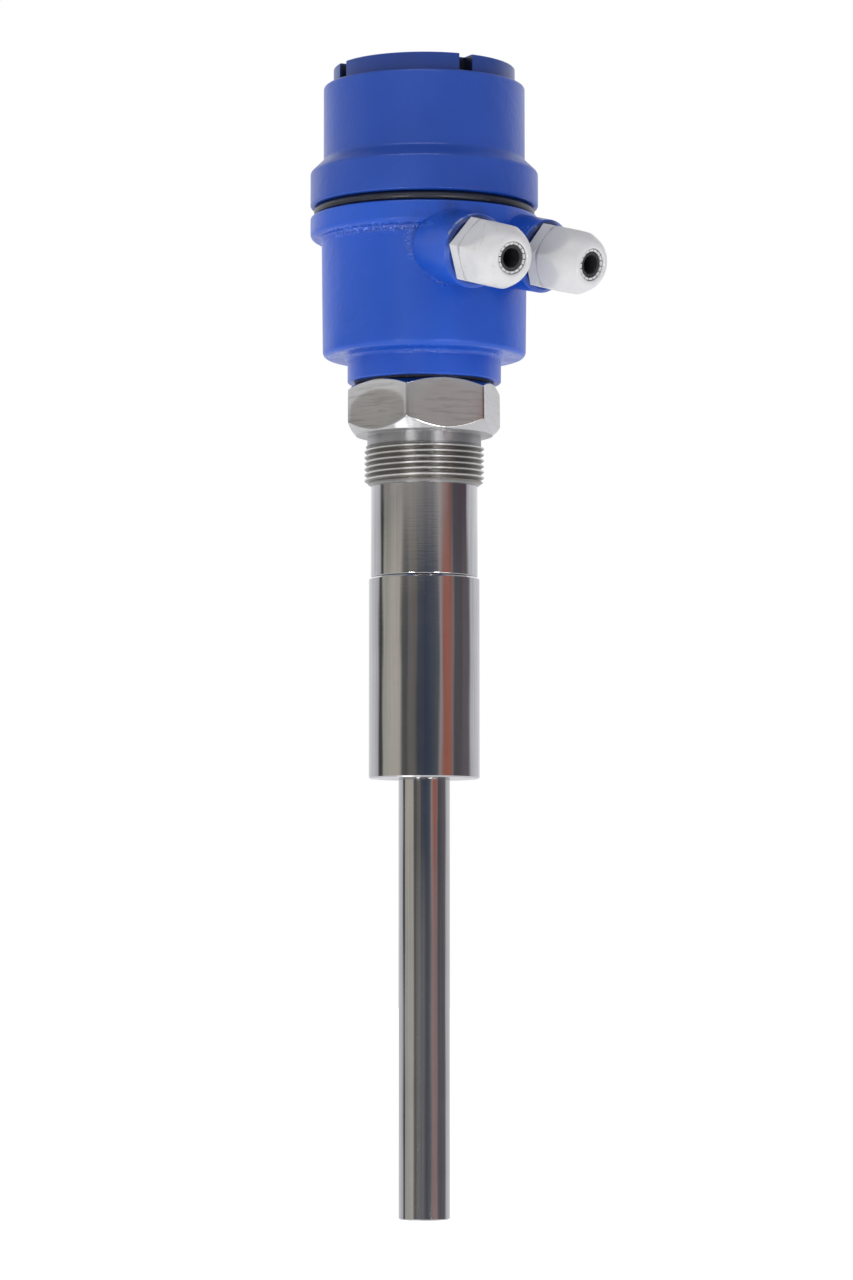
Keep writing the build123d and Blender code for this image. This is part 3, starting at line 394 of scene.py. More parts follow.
def steelMaterial(name, roughness, lines, waves, lathe=0.0, strokes=0.0):
    # Stainless steel: fine lines round the axis from turning or polishing, and faint waves.
    # Lathe grooves stretch a highlight up and down; strokes are level marks of a polishing belt.
    material, tree, shader = newMaterial(name)
    if lathe:
        tangent = tree.nodes.new("ShaderNodeTangent")
        tangent.direction_type = "RADIAL"
        tangent.axis = "Z"
        tree.links.new(tangent.outputs["Tangent"], shader.inputs["Tangent"])
        shader.inputs["Anisotropic"].default_value = lathe
        shader.inputs["Anisotropic Rotation"].default_value = 0.25
    shader.inputs["Metallic"].default_value = 1.0
    place = objectPlace(tree)
    cloud = noiseAt(tree, place, steel["cloudSize"], 4.0, 0.6)
    fine = noiseAt(tree, objectPlace(tree, (0.04, 0.04, 1.0)), steel["lineSize"], 3.0, 0.6)
    pits = noiseAt(tree, place, steel["pitSize"], 2.0, 0.6)
    bright = tuple(c * (steel["turnedTone"] if lathe else 1.0) for c in steel["colour"])
    colour = rampOf(tree, cloud, ((0.3, tuple(c * 0.93 for c in bright)), (0.7, bright)))
    colour = mixOf(tree, rangeOf(tree, pits, 0.70, 0.78, 0.0, 0.5), colour, tuple(c * 0.4 for c in bright))
    if lathe:
        # the thread: its crests painted lighter as a painted highlight, its grooves darker as painted shade
        x, y, z = objectAxes(tree)
        inGroove = rangeOf(tree, lengthOf(tree, x, y), *steel["groove"])
        threadLightAndShade = mixOf(tree, inGroove, steel["crest"], steel["grooveShade"])
        colour = mixOf(tree, within(tree, z, *steel["threadSpan"], 0.0006), colour, threadLightAndShade)
    if strokes:
        level = noiseAt(tree, objectPlace(tree, (1.0, 1.0, 9.0)), steel["strokeSize"], 4.0, 0.6)
        darker = tuple(c * 0.6 for c in steel["colour"])
        colour = mixOf(tree, rangeOf(tree, level, 0.52, 0.68, 0.0, strokes), colour, darker)
    tree.links.new(colour, shader.inputs["Base Color"])
    tree.links.new(rangeOf(tree, cloud, 0.25, 0.75, roughness * 0.8, roughness * 1.3), shader.inputs["Roughness"])
    wave = noiseAt(tree, objectPlace(tree, (1.0, 1.0, 0.25)), steel["waveSize"], 2.0, 0.5)
    bumpFrom(tree, shader, ((wave, waves, 0.0002), (fine, lines, 0.00004)))
    return material


nylon = {
    "colour": (0.60, 0.60, 0.612), "roughness": 0.40, "stain": (0.40, 0.33, 0.20), "mark": (0.25, 0.25, 0.26),
    "cloudSize": 140.0, "spotSize": 420.0, "scuffSize": 1300.0, "glow": 0.15, "glowDepth": 0.0012,
}


def nylonMaterial(name, stain):
    # Moulded light grey nylon, a little see-through at the edges, with handling marks.
    material, tree, shader = newMaterial(name)
    place = objectPlace(tree)
    cloud = noiseAt(tree, place, nylon["cloudSize"], 4.0, 0.6)
    colour = rampOf(tree, cloud, ((0.35, tuple(c * 0.94 for c in nylon["colour"])), (0.65, nylon["colour"])))
    spots = noiseAt(tree, place, nylon["spotSize"], 3.0, 0.65, 0.6)
    colour = mixOf(tree, rangeOf(tree, spots, 0.60, 0.72, 0.0, stain), colour, nylon["stain"])
    scuffs = noiseAt(tree, place, nylon["scuffSize"], 2.0, 0.7)
    colour = mixOf(tree, rangeOf(tree, scuffs, 0.70, 0.76, 0.0, 0.35), colour, nylon["mark"])
    tree.links.new(colour, shader.inputs["Base Color"])
    shader.inputs["Roughness"].default_value = nylon["roughness"]
    shader.inputs["Subsurface Weight"].default_value = nylon["glow"]
    shader.inputs["Subsurface Radius"].default_value = (1.0, 1.0, 1.0)
    shader.inputs["Subsurface Scale"].default_value = nylon["glowDepth"]
    bumpFrom(tree, shader, ((cloud, 0.12, 0.0004), (scuffs, 0.08, 0.00006)))
    return material


def plainStuff(name, colour, roughness=0.5, metallic=0.0, vary=0.12, size=160.0, bump=0.1, coat=0.0):
    # Moulded, pressed or plated stuff: a slow drift of tone, a fine grain and uneven gloss.
    material, tree, shader = newMaterial(name)
    place = objectPlace(tree)
    cloud = noiseAt(tree, place, size, 4.0, 0.6)
    grain = noiseAt(tree, place, 1200.0, 2.0, 0.5)
    darker = tuple(c * (1 - vary) for c in colour)
    lighter = tuple(min(1.0, c * (1 + vary)) for c in colour)
    tree.links.new(rampOf(tree, cloud, ((0.3, darker), (0.7, lighter))), shader.inputs["Base Color"])
    rough = rangeOf(tree, cloud, 0.25, 0.75, roughness * 0.85, min(1.0, roughness * 1.15))
    tree.links.new(rough, shader.inputs["Roughness"])
    shader.inputs["Metallic"].default_value = metallic
    shader.inputs["Coat Weight"].default_value = coat
    bumpFrom(tree, shader, ((grain, bump, 0.00005),))
    return material


def dress(name, material):
    slots = nodes[name].data.materials
    if len(slots) == 0:
        slots.append(material)
    for index in range(len(slots)):
        slots[index] = material


headEnamel = enamelMaterial("headEnamel", paint["head"], casting=True)
coverEnamel = enamelMaterial("coverEnamel", paint["cover"], casting=False)
polishedSteel = steelMaterial("polishedSteel", steel["polished"], lines=0.10, waves=0.25)
hexSteel = steelMaterial("hexSteel", steel["hex"], lines=0.30, waves=0.35, strokes=0.45)
turnedSteel = steelMaterial("turnedSteel", steel["turned"], lines=0.25, waves=0.15, lathe=0.88)
plainSteel = steelMaterial("plainSteel", steel["plain"], lines=0.30, waves=0.15)
sealRubber = plainStuff("sealRubber", (0.010, 0.012, 0.022), 0.36, vary=0.3, bump=0.15)
gasketRubber = plainStuff("gasketRubber", (0.005, 0.007, 0.018), 0.6, vary=0.3, bump=0.3)
insertRubber = plainStuff("insertRubber", (0.022, 0.022, 0.026), 0.55, vary=0.2, bump=0.2)
nylonOne = nylonMaterial("glandNylonOne", stain=0.40)
nylonTwo = nylonMaterial("glandNylonTwo", stain=0.06)
zincScrews = plainStuff("zincScrews", (0.62, 0.62, 0.60), 0.28, metallic=1.0)
brassPlate = plainStuff("brassPlate", (0.60, 0.42, 0.16), 0.3, metallic=1.0)
switchPlastic = plainStuff("switchPlastic", (0.013, 0.022, 0.15), 0.4)
sliderPlastic = plainStuff("sliderPlastic", (0.75, 0.75, 0.72), 0.4)

finishes = {
    "cover": coverEnamel, "housing": headEnamel, "cover_seal": sealRubber, "neck_gasket": gasketRubber,
    "lower_sleeve": polishedSteel, "vibrating_rod": polishedSteel, "rod_membrane": plainSteel,
    "inner_rod": plainSteel, "clamp_nut": zincScrews, "process_connector": plainSteel,
    "gland_body_1": nylonOne, "gland_nut_1": nylonOne, "gland_body_2": nylonTwo, "gland_nut_2": nylonTwo,
    "gland_seal_1": insertRubber, "gland_seal_2": insertRubber,
    "gland_gasket_1": gasketRubber, "gland_gasket_2": gasketRubber, "lead_grommet": gasketRubber,
    "chassis": plainStuff("chassisPlastic", (0.022, 0.025, 0.028), 0.5),
    "circuit_board": plainStuff("boardLaminate", (0.006, 0.085, 0.02), 0.35, coat=0.4, vary=0.25),
    "terminal_block": plainStuff("terminalPlastic", (0.022, 0.147, 0.047), 0.45),
    "relay": plainStuff("relayCase", (0.010, 0.011, 0.015), 0.38),
    "transformer": plainStuff("pottedBlock", (0.008, 0.008, 0.010), 0.42),
    "capacitor": plainStuff("capacitorSleeve", (0.007, 0.010, 0.073), 0.3, coat=0.3),
    "status_led": plainStuff("lampLens", (0.03, 0.52, 0.05), 0.12, coat=0.6),
    "trimmer_knob": plainStuff("knobPlastic", (0.71, 0.32, 0.013), 0.4),
    "piezo_rings": plainStuff("piezoCeramic", (0.48, 0.39, 0.23), 0.55),
    "stack_insulators": plainStuff("insulatorCeramic", (0.79, 0.76, 0.71), 0.4),
    "sensor_leads": plainStuff("leadInsulation", (0.52, 0.010, 0.007), 0.5),
    "trimmer_base": switchPlastic, "switch_body": switchPlastic, "switch_slider": sliderPlastic,
    "lead_plug": sliderPlastic, "stack_electrodes": brassPlate, "earth_washer": brassPlate,
    "earth_screw": zincScrews, "module_screws": zincScrews, "board_screws": zincScrews,
    "terminal_screws": zincScrews,
}
for nodeName in nodes:
    dress(nodeName, finishes[nodeName])
    smoothNode(nodeName)
print("materials ready:", len(finishes))


connector = {
    "flat": 27.75, "hexTurn": 17.7, "hexBottom": 4.1, "hexTop": 24.5, "cornerPower": 90,
    "bottomCircle": 27.2, "bottomAngle": 44, "topCircle": 27.75, "topAngle": 35,
    "relief": 22.7, "thread": 23.9, "root": 22.42, "pitch": 2.309, "threadEnd": -16.2, "endChamfer": 2.2,
    "sleeve": 21.25, "sleeveEnd": -52.8, "spigot": 22.0, "spigotTop": 33.1,
    "joint": 18.48, "jointEnd": -58.8, "bore": 15.0, "edge": 0.4, "rowsPerPitch": 20, "faceRows": 26,
    # the buffed border of the hexagon's faces: how softly it starts and how far it goes, then for
    # each face its lean in degrees and the ellipse's half width, half height and middle
    "buffSoft": 0.015, "buffMost": 0.8,
    "buff": ((1.0, 15.6, 8.6, 12.5), (1.6, 15.2, 8.8, 12.5), (0.8, 15.4, 8.8, 12.5),
             (4.6, 14.4, 7.9, 12.6), (2.6, 12.4, 11.0, 12.3), (1.4, 15.4, 8.8, 12.5)),
}


def threadRadius(height, angle, c):
    # Pipe thread: the radius swings between root and crest once per pitch, and the phase
    # falls by one pitch each turn, so the thread is right-handed. A 55 degree flank with
    # round crest and root is close to a triangle wave pressed through a sine.
    phase = height / c["pitch"] - angle / fullTurn
    wave = 2 * np.abs(2 * (phase - np.floor(phase + 0.5))) - 1
    swing = np.sin(wave * pi / 2 * 0.98) * 0.42 + wave * 0.58
    middle, half = (c["thread"] + c["root"]) / 2, (c["thread"] - c["root"]) / 2
    radius = middle + half * np.clip(swing * 1.12, -1, 1)
    startCone = c["relief"] + 0.02 + np.maximum(0, -height) * 1.6
    endSlope = (c["thread"] - c["sleeve"]) / c["endChamfer"] * 1.15
    endCone = c["sleeve"] - 0.1 + np.maximum(0, height - c["threadEnd"]) * endSlope
    return np.minimum(np.minimum(radius, startCone), endCone)


def buffedAway(height, angle, hexRadius, sides, shares, c):
    # Polishing rounds off each face outside an ellipse (u / halfWidth)^2 + (v / halfHeight)^2 = 1,
    # v counted from its middle upwards: the face leans back by a steady few degrees from there.
    total = 0
    for k, (lean, halfWidth, halfHeight, middle) in enumerate(c["buff"]):
        u = hexRadius * np.sin(angle - sides[k])
        v = np.maximum(height - middle, 0)
        past = np.sqrt((u / halfWidth) ** 2 + (v / halfHeight) ** 2) - 1
        soft = (past + np.sqrt(past ** 2 + c["buffSoft"] ** 2)) / 2
        total = total + shares[:, k] * radians(lean) * halfHeight * np.minimum(soft, c["buffMost"])
    return total


def buildConnector(c):
    # One closed outline of (radius, height) rows for every angle round the axis: a soft
    # hexagon with buffed faces, cut by a cone above and below, then thread and sleeve.
    angle = polygonAngles(c["hexTurn"])
    sides = radians(c["hexTurn"] + 30) + np.arange(6) * pi / 3
    hexRadius, shares = polygonRadius(angle, c["flat"], sides, c["cornerPower"])
    low = c["hexBottom"] + (hexRadius - c["bottomCircle"]) * tan(radians(c["bottomAngle"]))
    high = c["hexTop"] - (hexRadius - c["topCircle"]) * tan(radians(c["topAngle"]))
    count = len(angle)

    def ring(radius, height):
        return np.stack([np.broadcast_to(radius, (count,)), np.broadcast_to(height, (count,))], axis=-1)

    def face(height):
        return ring(hexRadius - buffedAway(height, angle, hexRadius, sides, shares, c), height)

    corners = [
        (ring(c["bore"], c["jointEnd"]), 0.2), (ring(c["joint"], c["jointEnd"]), 0.2),
        (ring(c["joint"], c["sleeveEnd"]), 0.05), (ring(c["sleeve"] - 0.6, c["sleeveEnd"]), 0.15),
        (ring(c["sleeve"], c["sleeveEnd"] + 0.6), 0.25), (ring(c["sleeve"], c["threadEnd"] - 0.2), 0.05),
        (ring(c["relief"], 0.3), 0.05), (ring(c["relief"], c["hexBottom"]), 0.6),
        (ring(c["bottomCircle"], c["hexBottom"]), c["edge"]), (face(low), c["edge"]),
        (face(high), c["edge"]), (ring(c["topCircle"] - 0.3, c["hexTop"]), c["edge"]),
        (ring(c["spigot"], c["hexTop"]), 0.05), (ring(c["spigot"], c["spigotTop"] - 0.6), 0.1),
        (ring(c["spigot"] - 0.6, c["spigotTop"]), 0.1), (ring(c["bore"], c["spigotTop"]), 0.2),
    ]
    threadAfter, faceAfter = 5, 9  # the thread's and the faces' rows come after these corners
    rows = softCorners(np.stack([corner for corner, size in corners]), [size for corner, size in corners])
    perCorner = len(rows) // len(corners)
    heights = np.arange(c["threadEnd"] - 0.1, 0.2, c["pitch"] / c["rowsPerPitch"])
    turned = np.stack([threadRadius(heights[:, None], angle[None], c),
                       np.broadcast_to(heights[:, None], (len(heights), count))], -1)
    share = np.linspace(0, 1, c["faceRows"] + 2)[1:-1, None]
    faces = np.stack([face(height) for height in (low + 0.6) * (1 - share) + (high - 0.6) * share])
    cut, faceCut = (threadAfter + 1) * perCorner, (faceAfter + 1) * perCorner
    rows = np.concatenate([rows[:cut], turned, rows[cut:faceCut], faces, rows[faceCut:]])
    return meshFromGrid("connector", aroundAxis(rows, angle), closeAlong=True)


connectorPiece = buildConnector(connector)
for material in (turnedSteel, polishedSteel, hexSteel):
    connectorPiece.data.materials.append(material)
# thread and relief are turned, the sleeve is polished and the hexagon brushed
middles = np.zeros(len(connectorPiece.data.polygons) * 3)
connectorPiece.data.polygons.foreach_get("center", middles)
middles = middles.reshape(-1, 3)[:, 2] / mm
onHexagon = middles > connector["hexBottom"] + 0.1
finishOf = np.where(middles < connector["threadEnd"] - 0.3, 1, np.where(onHexagon, 2, 0))
connectorPiece.data.polygons.foreach_set("material_index", finishOf.astype(np.int32))
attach(connectorPiece, "head")
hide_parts("process_connector")
print("connector ready:", len(connectorPiece.data.polygons), "faces")


nut = {
    "flat": 12.25, "start": 6.08, "length": 18.72, "startCone": 1.7, "domeFoot": 4.62, "domeTop": 7.1,
    "mouth": 6.3, "mouthRound": 0.6, "lip": 18.02, "cone": 8.6, "coneDepth": 11.82, "bore": 9.5, "boreDepth": 8.52,
    "cornerPower": 75, "blend": 70, "domeRows": 34,
}


def buildNut(name, number, n):
    # Dome nut: each row's radius is the soft minimum (h^-q + d^-q)^(-1/q) of the hexagon h
    # and of the dome d, whose radius falls from the corners to the mouth as the cosine of t
    # while its height rises as sine(t)^1.6. The rows then turn in through the mouth.
    angle = polygonAngles(entry["turns"][number])
    sides = radians(entry["turns"][number] + 30) + np.arange(6) * pi / 3
    hexRadius, shares = polygonRadius(angle, n["flat"], sides, n["cornerPower"])
    corner = n["flat"] / cos(pi / 6)
    t = np.linspace(0, pi / 2, n["domeRows"])
    domeRadius = n["domeTop"] + (corner - n["domeTop"]) * np.cos(t)
    domeHeight = n["domeFoot"] + (n["length"] - n["domeFoot"]) * np.sin(t) ** 1.6
    foot = np.array([0.0, 0.12, 0.3, 0.5, 0.7, 0.9, 1.2, 1.8, 2.8, 3.6])
    footRadius = n["flat"] - 0.05 + (corner - n["flat"]) * foot / n["startCone"]
    limit = np.concatenate([footRadius, domeRadius])[:, None]
    height = np.concatenate([foot, domeHeight])[:, None]
    outer = (hexRadius[None] ** -n["blend"] + limit ** -n["blend"]) ** (-1 / n["blend"])
    b = np.linspace(0, pi / 2, 7)[1:]
    inner = np.concatenate([
        np.stack([n["domeTop"] - (n["domeTop"] - n["mouth"]) * np.sin(b),
                  n["length"] - n["mouthRound"] * (1 - np.cos(b))], -1),
        [(n["mouth"], n["lip"]), (n["cone"], n["coneDepth"]), (n["cone"], n["boreDepth"]),
         (n["bore"], n["boreDepth"]), (n["bore"], 0.5), (n["bore"] + 0.5, 0.0)],
    ])
    rows = np.concatenate([
        np.stack([outer, np.broadcast_to(height, outer.shape)], -1),
        np.broadcast_to(inner[:, None], (len(inner), len(angle), 2)),
    ])
    rows = rows + np.array([0.0, n["start"]])
    seat, across, axis = entryFrame(number)
    return meshFromGrid(name, aroundAxis(rows, angle, seat, across, axis), closeAlong=True, sharpAngle=50)


for number, material in enumerate((nylonOne, nylonTwo)):
    nodeName = "gland_nut_" + str(number + 1)
    piece = buildNut("domeNut" + str(number + 1), number, nut)
    piece.data.materials.append(material)
    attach(piece, nodeName)
    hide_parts(nodeName)
print("dome nuts ready")


neckThread = {
    "root": 37.15, "crest": 37.95, "inside": 36.7, "low": 96.2, "high": 105.0, "pitch": 2.0, "fade": 0.9,
    "rowsPerPitch": 10, "columns": 240,
}


def buildNeckThread(n):
    # Thread that the cover screws on to: radius = root + rise * (0.5 + 0.5 cos(turn * (h / pitch -
    # a / turn))), flattened at the crests and fading into the neck at both ends.
    angle = np.linspace(0, fullTurn, n["columns"], endpoint=False)
    height = np.arange(n["low"], n["high"], n["pitch"] / n["rowsPerPitch"])[:, None]
    swing = 0.5 + 0.5 * np.cos(fullTurn * (height / n["pitch"] - angle / fullTurn))
    ends = np.clip(np.minimum(height - n["low"], n["high"] - height) / n["fade"], 0, 1)
    radius = n["root"] + (n["crest"] - n["root"]) * np.minimum(swing * 1.35, 1) * ends
    outside = np.stack([radius, np.broadcast_to(height, radius.shape)], -1)
    inside = np.array([[(n["inside"], n["high"])], [(n["inside"], n["low"])]]) * np.ones((1, len(angle), 1))
    rows = np.concatenate([outside, inside])
    return meshFromGrid("neckThread", aroundAxis(rows, angle), closeAlong=True, sharpAngle=60)


threadPiece = buildNeckThread(neckThread)
greasedMetal = plainStuff("greasedAluminium", (0.42, 0.42, 0.43), 0.32, metallic=1.0, vary=0.2)
threadPiece.data.materials.append(greasedMetal)
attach(threadPiece, "head")
print("neck thread ready")


studio = {
    "floorRadius": 6.0, "floorTop": -0.3062, "floorGlow": 1.35,
    "domeRadius": 5.0, "wallRadius": 3.4, "wallLow": -1.6, "wallHigh": 2.6,
    "camera": (0.0009, -1.7035, -0.1994), "pitch": 4.1, "lens": 120.94, "sensor": 36.0,
    # light of the room by elevation in degrees
    "sky": ((0, (0.98, 0.98, 1.0)), (15, (0.85, 0.85, 0.87)), (40, (0.55, 0.55, 0.57)), (90, (0.45, 0.45, 0.46))),
    # Cards round the camera that the steel shows, in rows from the lowest up: the heights between
    # which a row takes over from the one before, and its colours by azimuth in degrees. Of the
    # lowest row only the turned steel gathers the two bright strips.
    "cards": {
        "strip": (None, (
            (-150, (0.028, 0.028, 0.028)), (-98, (0.023, 0.023, 0.023)), (-90, (0.01, 0.01, 0.01)),
            (-33, (0.01, 0.01, 0.01)), (-30, (1.0, 0.98, 0.96)), (-25, (1.0, 0.98, 0.96)),
            (-22, (0.01, 0.01, 0.01)), (22, (0.01, 0.01, 0.01)), (25, (0.90, 0.88, 0.86)),
            (31, (0.90, 0.88, 0.86)), (34, (0.06, 0.06, 0.06)), (52, (0.16, 0.15, 0.15)),
            (62, (0.01, 0.01, 0.01)), (90, (0.01, 0.01, 0.01)), (98, (0.023, 0.023, 0.023)),
            (150, (0.028, 0.028, 0.028)),
        )),
        "rod": ((-1.06, -0.94), (
            (-150, (0.88, 0.88, 0.90)), (-128, (0.85, 0.85, 0.87)), (-112, (0.66, 0.66, 0.69)),
            (-105, (0.08, 0.08, 0.08)), (-98, (0.09, 0.09, 0.09)), (-95, (0.52, 0.50, 0.46)),
            (-70, (0.62, 0.60, 0.54)), (-50, (0.66, 0.61, 0.54)), (-46, (0.22, 0.21, 0.20)),
            (-38, (0.17, 0.17, 0.17)), (-33, (0.27, 0.26, 0.25)), (-19, (0.26, 0.25, 0.25)),
            (-12, (0.21, 0.21, 0.21)), (-4, (0.25, 0.25, 0.26)), (4, (0.15, 0.15, 0.17)),
            (12, (0.12, 0.12, 0.14)), (18, (0.13, 0.14, 0.16)), (29, (0.19, 0.19, 0.20)),
            (33, (0.34, 0.30, 0.31)), (41, (0.44, 0.28, 0.27)), (57, (0.42, 0.29, 0.27)),
            (61, (0.30, 0.25, 0.25)), (66, (0.16, 0.15, 0.17)), (84, (0.17, 0.16, 0.17)),
            (104, (0.20, 0.18, 0.19)), (109, (0.40, 0.40, 0.41)), (113, (0.66, 0.66, 0.69)),
            (128, (0.80, 0.80, 0.83)), (150, (0.86, 0.86, 0.88)),
        )),
        "low": ((-0.16, -0.06), (
            (-150, (0.88, 0.88, 0.90)), (-128, (0.85, 0.85, 0.87)), (-112, (0.66, 0.66, 0.69)),
            (-105, (0.08, 0.08, 0.08)), (-98, (0.09, 0.09, 0.09)), (-95, (0.60, 0.58, 0.50)),
            (-70, (0.66, 0.63, 0.54)), (-50, (0.66, 0.60, 0.52)), (-46, (0.14, 0.14, 0.14)),
            (-36, (0.13, 0.13, 0.13)), (-33, (0.21, 0.20, 0.19)), (-19, (0.22, 0.20, 0.18)),
            (-14, (0.09, 0.10, 0.12)), (3, (0.06, 0.075, 0.12)), (18, (0.09, 0.11, 0.15)),
            (29, (0.15, 0.15, 0.15)), (33, (0.44, 0.40, 0.42)), (38, (0.44, 0.36, 0.37)),
            (41, (0.50, 0.17, 0.12)), (57, (0.50, 0.20, 0.15)), (61, (0.36, 0.28, 0.28)),
            (66, (0.12, 0.12, 0.14)), (84, (0.15, 0.14, 0.15)), (90, (0.20, 0.17, 0.19)),
            (104, (0.20, 0.18, 0.19)), (109, (0.40, 0.40, 0.41)), (113, (0.68, 0.68, 0.71)),
            (128, (0.82, 0.82, 0.85)), (150, (0.86, 0.86, 0.88)),
        )),
        "high": ((0.25, 0.33), (
            (-150, (1.0, 1.0, 1.02)), (-128, (0.88, 0.88, 0.90)), (-112, (0.72, 0.72, 0.75)),
            (-105, (0.06, 0.06, 0.07)), (-97, (0.08, 0.08, 0.08)), (-92, (0.30, 0.29, 0.27)),
            (-68, (0.40, 0.37, 0.34)), (-48, (0.47, 0.44, 0.41)), (-25, (0.46, 0.44, 0.40)),
            (-6, (0.36, 0.34, 0.32)), (6, (0.27, 0.26, 0.26)), (18, (0.36, 0.34, 0.34)),
            (28, (0.50, 0.47, 0.45)), (37, (0.56, 0.52, 0.49)), (43, (0.45, 0.36, 0.34)),
            (51, (0.34, 0.21, 0.19)), (60, (0.18, 0.13, 0.13)), (67, (0.12, 0.11, 0.13)),
            (84, (0.13, 0.10, 0.12)), (102, (0.12, 0.08, 0.11)), (107, (0.62, 0.60, 0.63)),
            (116, (0.86, 0.86, 0.89)), (150, (1.0, 1.0, 1.02)),
        )),
        "mid": ((0.37, 0.41), (
            (-150, (1.10, 1.10, 1.12)), (-112, (0.88, 0.88, 0.90)), (-104, (0.60, 0.60, 0.60)),
            (-99, (0.92, 0.91, 0.89)), (-90.5, (0.88, 0.87, 0.84)), (-88.5, (0.54, 0.52, 0.48)),
            (-81.5, (0.54, 0.52, 0.48)), (-79.5, (0.88, 0.87, 0.84)), (-62, (0.78, 0.76, 0.73)),
            (-50, (0.50, 0.48, 0.45)), (-25, (0.46, 0.44, 0.41)), (16, (0.44, 0.42, 0.40)),
            (28, (0.55, 0.52, 0.50)), (37, (0.62, 0.58, 0.55)), (43, (0.50, 0.41, 0.39)),
            (51, (0.34, 0.21, 0.19)), (60, (0.18, 0.13, 0.13)), (67, (0.12, 0.11, 0.13)),
            (102, (0.12, 0.09, 0.11)), (107, (0.62, 0.60, 0.63)), (116, (0.90, 0.90, 0.92)),
            (146, (1.10, 1.10, 1.12)), (152, (0.76, 0.76, 0.78)),
        )),
        "top": ((0.60, 0.74), (
            (-150, (1.20, 1.20, 1.22)), (-118, (1.02, 1.02, 1.04)), (-102, (0.98, 0.97, 0.95)),
            (-78, (0.92, 0.91, 0.88)), (-64, (0.58, 0.58, 0.60)), (104, (0.58, 0.58, 0.60)),
            (112, (0.95, 0.95, 0.98)), (150, (1.20, 1.20, 1.22)),
        )),
    },
    "stripGlow": 36.0, "sway": 0.11, "swayRates": (2.5, 9.0), "streak": 0.21, "streakRates": (30.0, 2.5),
    # lamps: azimuth, elevation, distance, width, height, watts, and who sees them
    "lamps": {
        "glintBar": (-8, 56, 1.9, 1.4, 0.30, 9.0, "glossy"),
        "chamferGlint": (-90, -72, 1.2, 0.22, 0.30, 0.18, "glossy"),
        "chamferGlow": (-80, -76, 1.2, 0.62, 0.40, 0.26, "glossy"),
        "lowFill": (46, -28, 1.8, 1.0, 1.0, 8.0, "diffuse"),
        "frontFill": (-20, 0, 1.9, 1.0, 1.0, 5.0, "diffuse"),
    },
}


def glowMaterial(name, colour, strength=1.0):
    material = bpy.data.materials.new(name)
    material.use_nodes = True
    tree = material.node_tree
    tree.nodes.clear()
    glow = tree.nodes.new("ShaderNodeEmission")
    glow.inputs["Color"].default_value = (*colour, 1)
    glow.inputs["Strength"].default_value = strength
    out = tree.nodes.new("ShaderNodeOutputMaterial")
    tree.links.new(glow.outputs["Emission"], out.inputs["Surface"])
    return material, tree, glow


def buildFloor(s):
    # a disc of rings r(v) at one height
    radius = np.array([0.0, 0.2, 0.6, 1.5, s["floorRadius"]])
    angle = np.linspace(0, fullTurn, 96, endpoint=False)
    grid = np.stack([radius[:, None] * np.cos(angle), radius[:, None] * np.sin(angle),
                     np.full((len(radius), len(angle)), s["floorTop"])], -1)
    floor = meshFromGrid("floor", grid, sharpAngle=0)
    floor.data.materials.append(glowMaterial("floorWhite", (1, 1, 1), s["floorGlow"])[0])
    floor.visible_glossy = False


def buildDome(s):
    # half a sphere over the object, seen only by the light: point = R (cos e cos a, cos e sin a, sin e)
    rise = np.radians(np.linspace(-4, 90, 40))[:, None]
    angle = np.linspace(0, fullTurn, 96, endpoint=False)
    grid = s["domeRadius"] * np.stack([np.cos(rise) * np.cos(angle), np.cos(rise) * np.sin(angle),
                                       np.sin(rise) * np.ones_like(angle)], -1)
    dome = meshFromGrid("skyDome", grid[::-1], sharpAngle=0)
    stuff, tree, glow = glowMaterial("skyDome", (1, 1, 1))
    x, y, z = objectAxes(tree)
    share = rangeOf(tree, z, 0.0, s["domeRadius"])
    tone = rampOf(tree, share, [(sin(radians(e)), colour) for e, colour in s["sky"]])
    tree.links.new(tone, glow.inputs["Color"])
    dome.data.materials.append(stuff)
    dome.visible_camera = False
    dome.visible_shadow = False


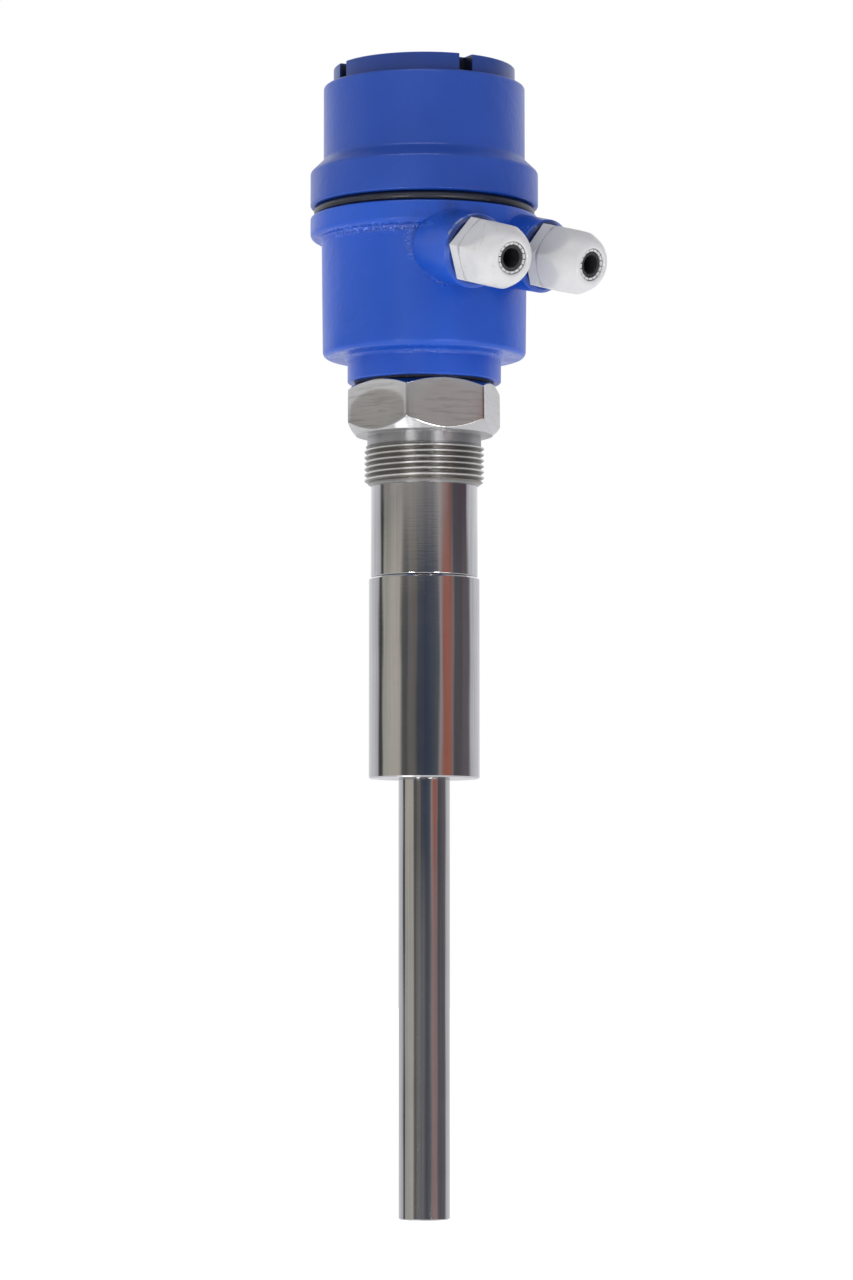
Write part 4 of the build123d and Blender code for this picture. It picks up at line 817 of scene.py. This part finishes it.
def buildCards(s):
    # a cylinder round the object, coloured by the azimuth and height of its own points:
    # point = (R sin a, -R cos a, h)
    angle = np.linspace(-pi, pi, 241)
    height = np.array([s["wallLow"], s["wallHigh"]])[:, None]
    grid = np.stack([s["wallRadius"] * np.sin(angle) * np.ones_like(height),
                     -s["wallRadius"] * np.cos(angle) * np.ones_like(height), height * np.ones_like(angle)], -1)
    wall = meshFromGrid("cardWall", grid, closeAcross=False, sharpAngle=0)
    stuff, tree, glow = glowMaterial("cardWall", (1, 1, 1))
    x, y, z = objectAxes(tree)
    azimuth = azimuthOf(tree, x, y)
    # the cards' edges waver with height, and fine upright streaks cross them
    wave = noiseAt(tree, flatPlace(tree, azimuth, z, s["swayRates"]), 1.0)
    azimuth = mathOf(tree, "ADD", azimuth, rangeOf(tree, wave, 0.2, 0.8, -s["sway"], s["sway"]))
    streaks = noiseAt(tree, flatPlace(tree, azimuth, z, s["streakRates"]), 1.0)
    share = rangeOf(tree, azimuth, -pi, pi)
    tone = None
    for meet, stops in s["cards"].values():
        row = rampOf(tree, share, [((degrees + 180) / 360, colour) for degrees, colour in stops])
        if tone is None:
            tone = vectorOf(tree, "SCALE", row, s["stripGlow"])
        else:
            tone = mixOf(tree, rangeOf(tree, z, *meet), tone, row)
    uneven = rangeOf(tree, streaks, 0.3, 0.7, 1.0 - s["streak"], 1.0 + s["streak"])
    tree.links.new(vectorOf(tree, "SCALE", tone, uneven), glow.inputs["Color"])
    wall.data.materials.append(stuff)
    wall.visible_camera = False
    wall.visible_diffuse = False
    wall.visible_shadow = False


def buildStudio(s):
    scene = bpy.context.scene
    scene.view_settings.view_transform = "Standard"
    scene.view_settings.look = "None"
    world = bpy.data.worlds.new("studioWorld")
    scene.world = world
    world.use_nodes = True
    world.node_tree.nodes["Background"].inputs["Color"].default_value = (1, 1, 1, 1)
    buildFloor(s)
    buildDome(s)
    buildCards(s)
    for name, (turn, rise, distance, width, height, power, seenBy) in s["lamps"].items():
        data = bpy.data.lights.new(name, "AREA")
        data.shape = "RECTANGLE"
        data.size, data.size_y = width, height
        data.energy = power
        lamp = bpy.data.objects.new(name, data)
        lamp.visible_glossy = seenBy == "glossy"
        lamp.visible_diffuse = seenBy == "diffuse"
        a, e = radians(turn), radians(rise)
        spot = np.array([sin(a) * cos(e), -cos(a) * cos(e), sin(e)]) * distance
        lamp.location = spot
        scene.collection.objects.link(lamp)
        lamp.rotation_euler = Vector(-spot).to_track_quat("-Z", "Y").to_euler()

    data = bpy.data.cameras.new("photoCamera")
    data.sensor_fit = "VERTICAL"
    data.sensor_height = s["sensor"]
    data.sensor_width = s["sensor"]
    data.lens = s["lens"]
    data.clip_start, data.clip_end = 0.05, 50.0
    camera = bpy.data.objects.new("photoCamera", data)
    camera.location = s["camera"]
    camera.rotation_euler = (radians(90 + s["pitch"]), 0, 0)
    scene.collection.objects.link(camera)
    scene.camera = camera


buildStudio(studio)
print("studio ready")
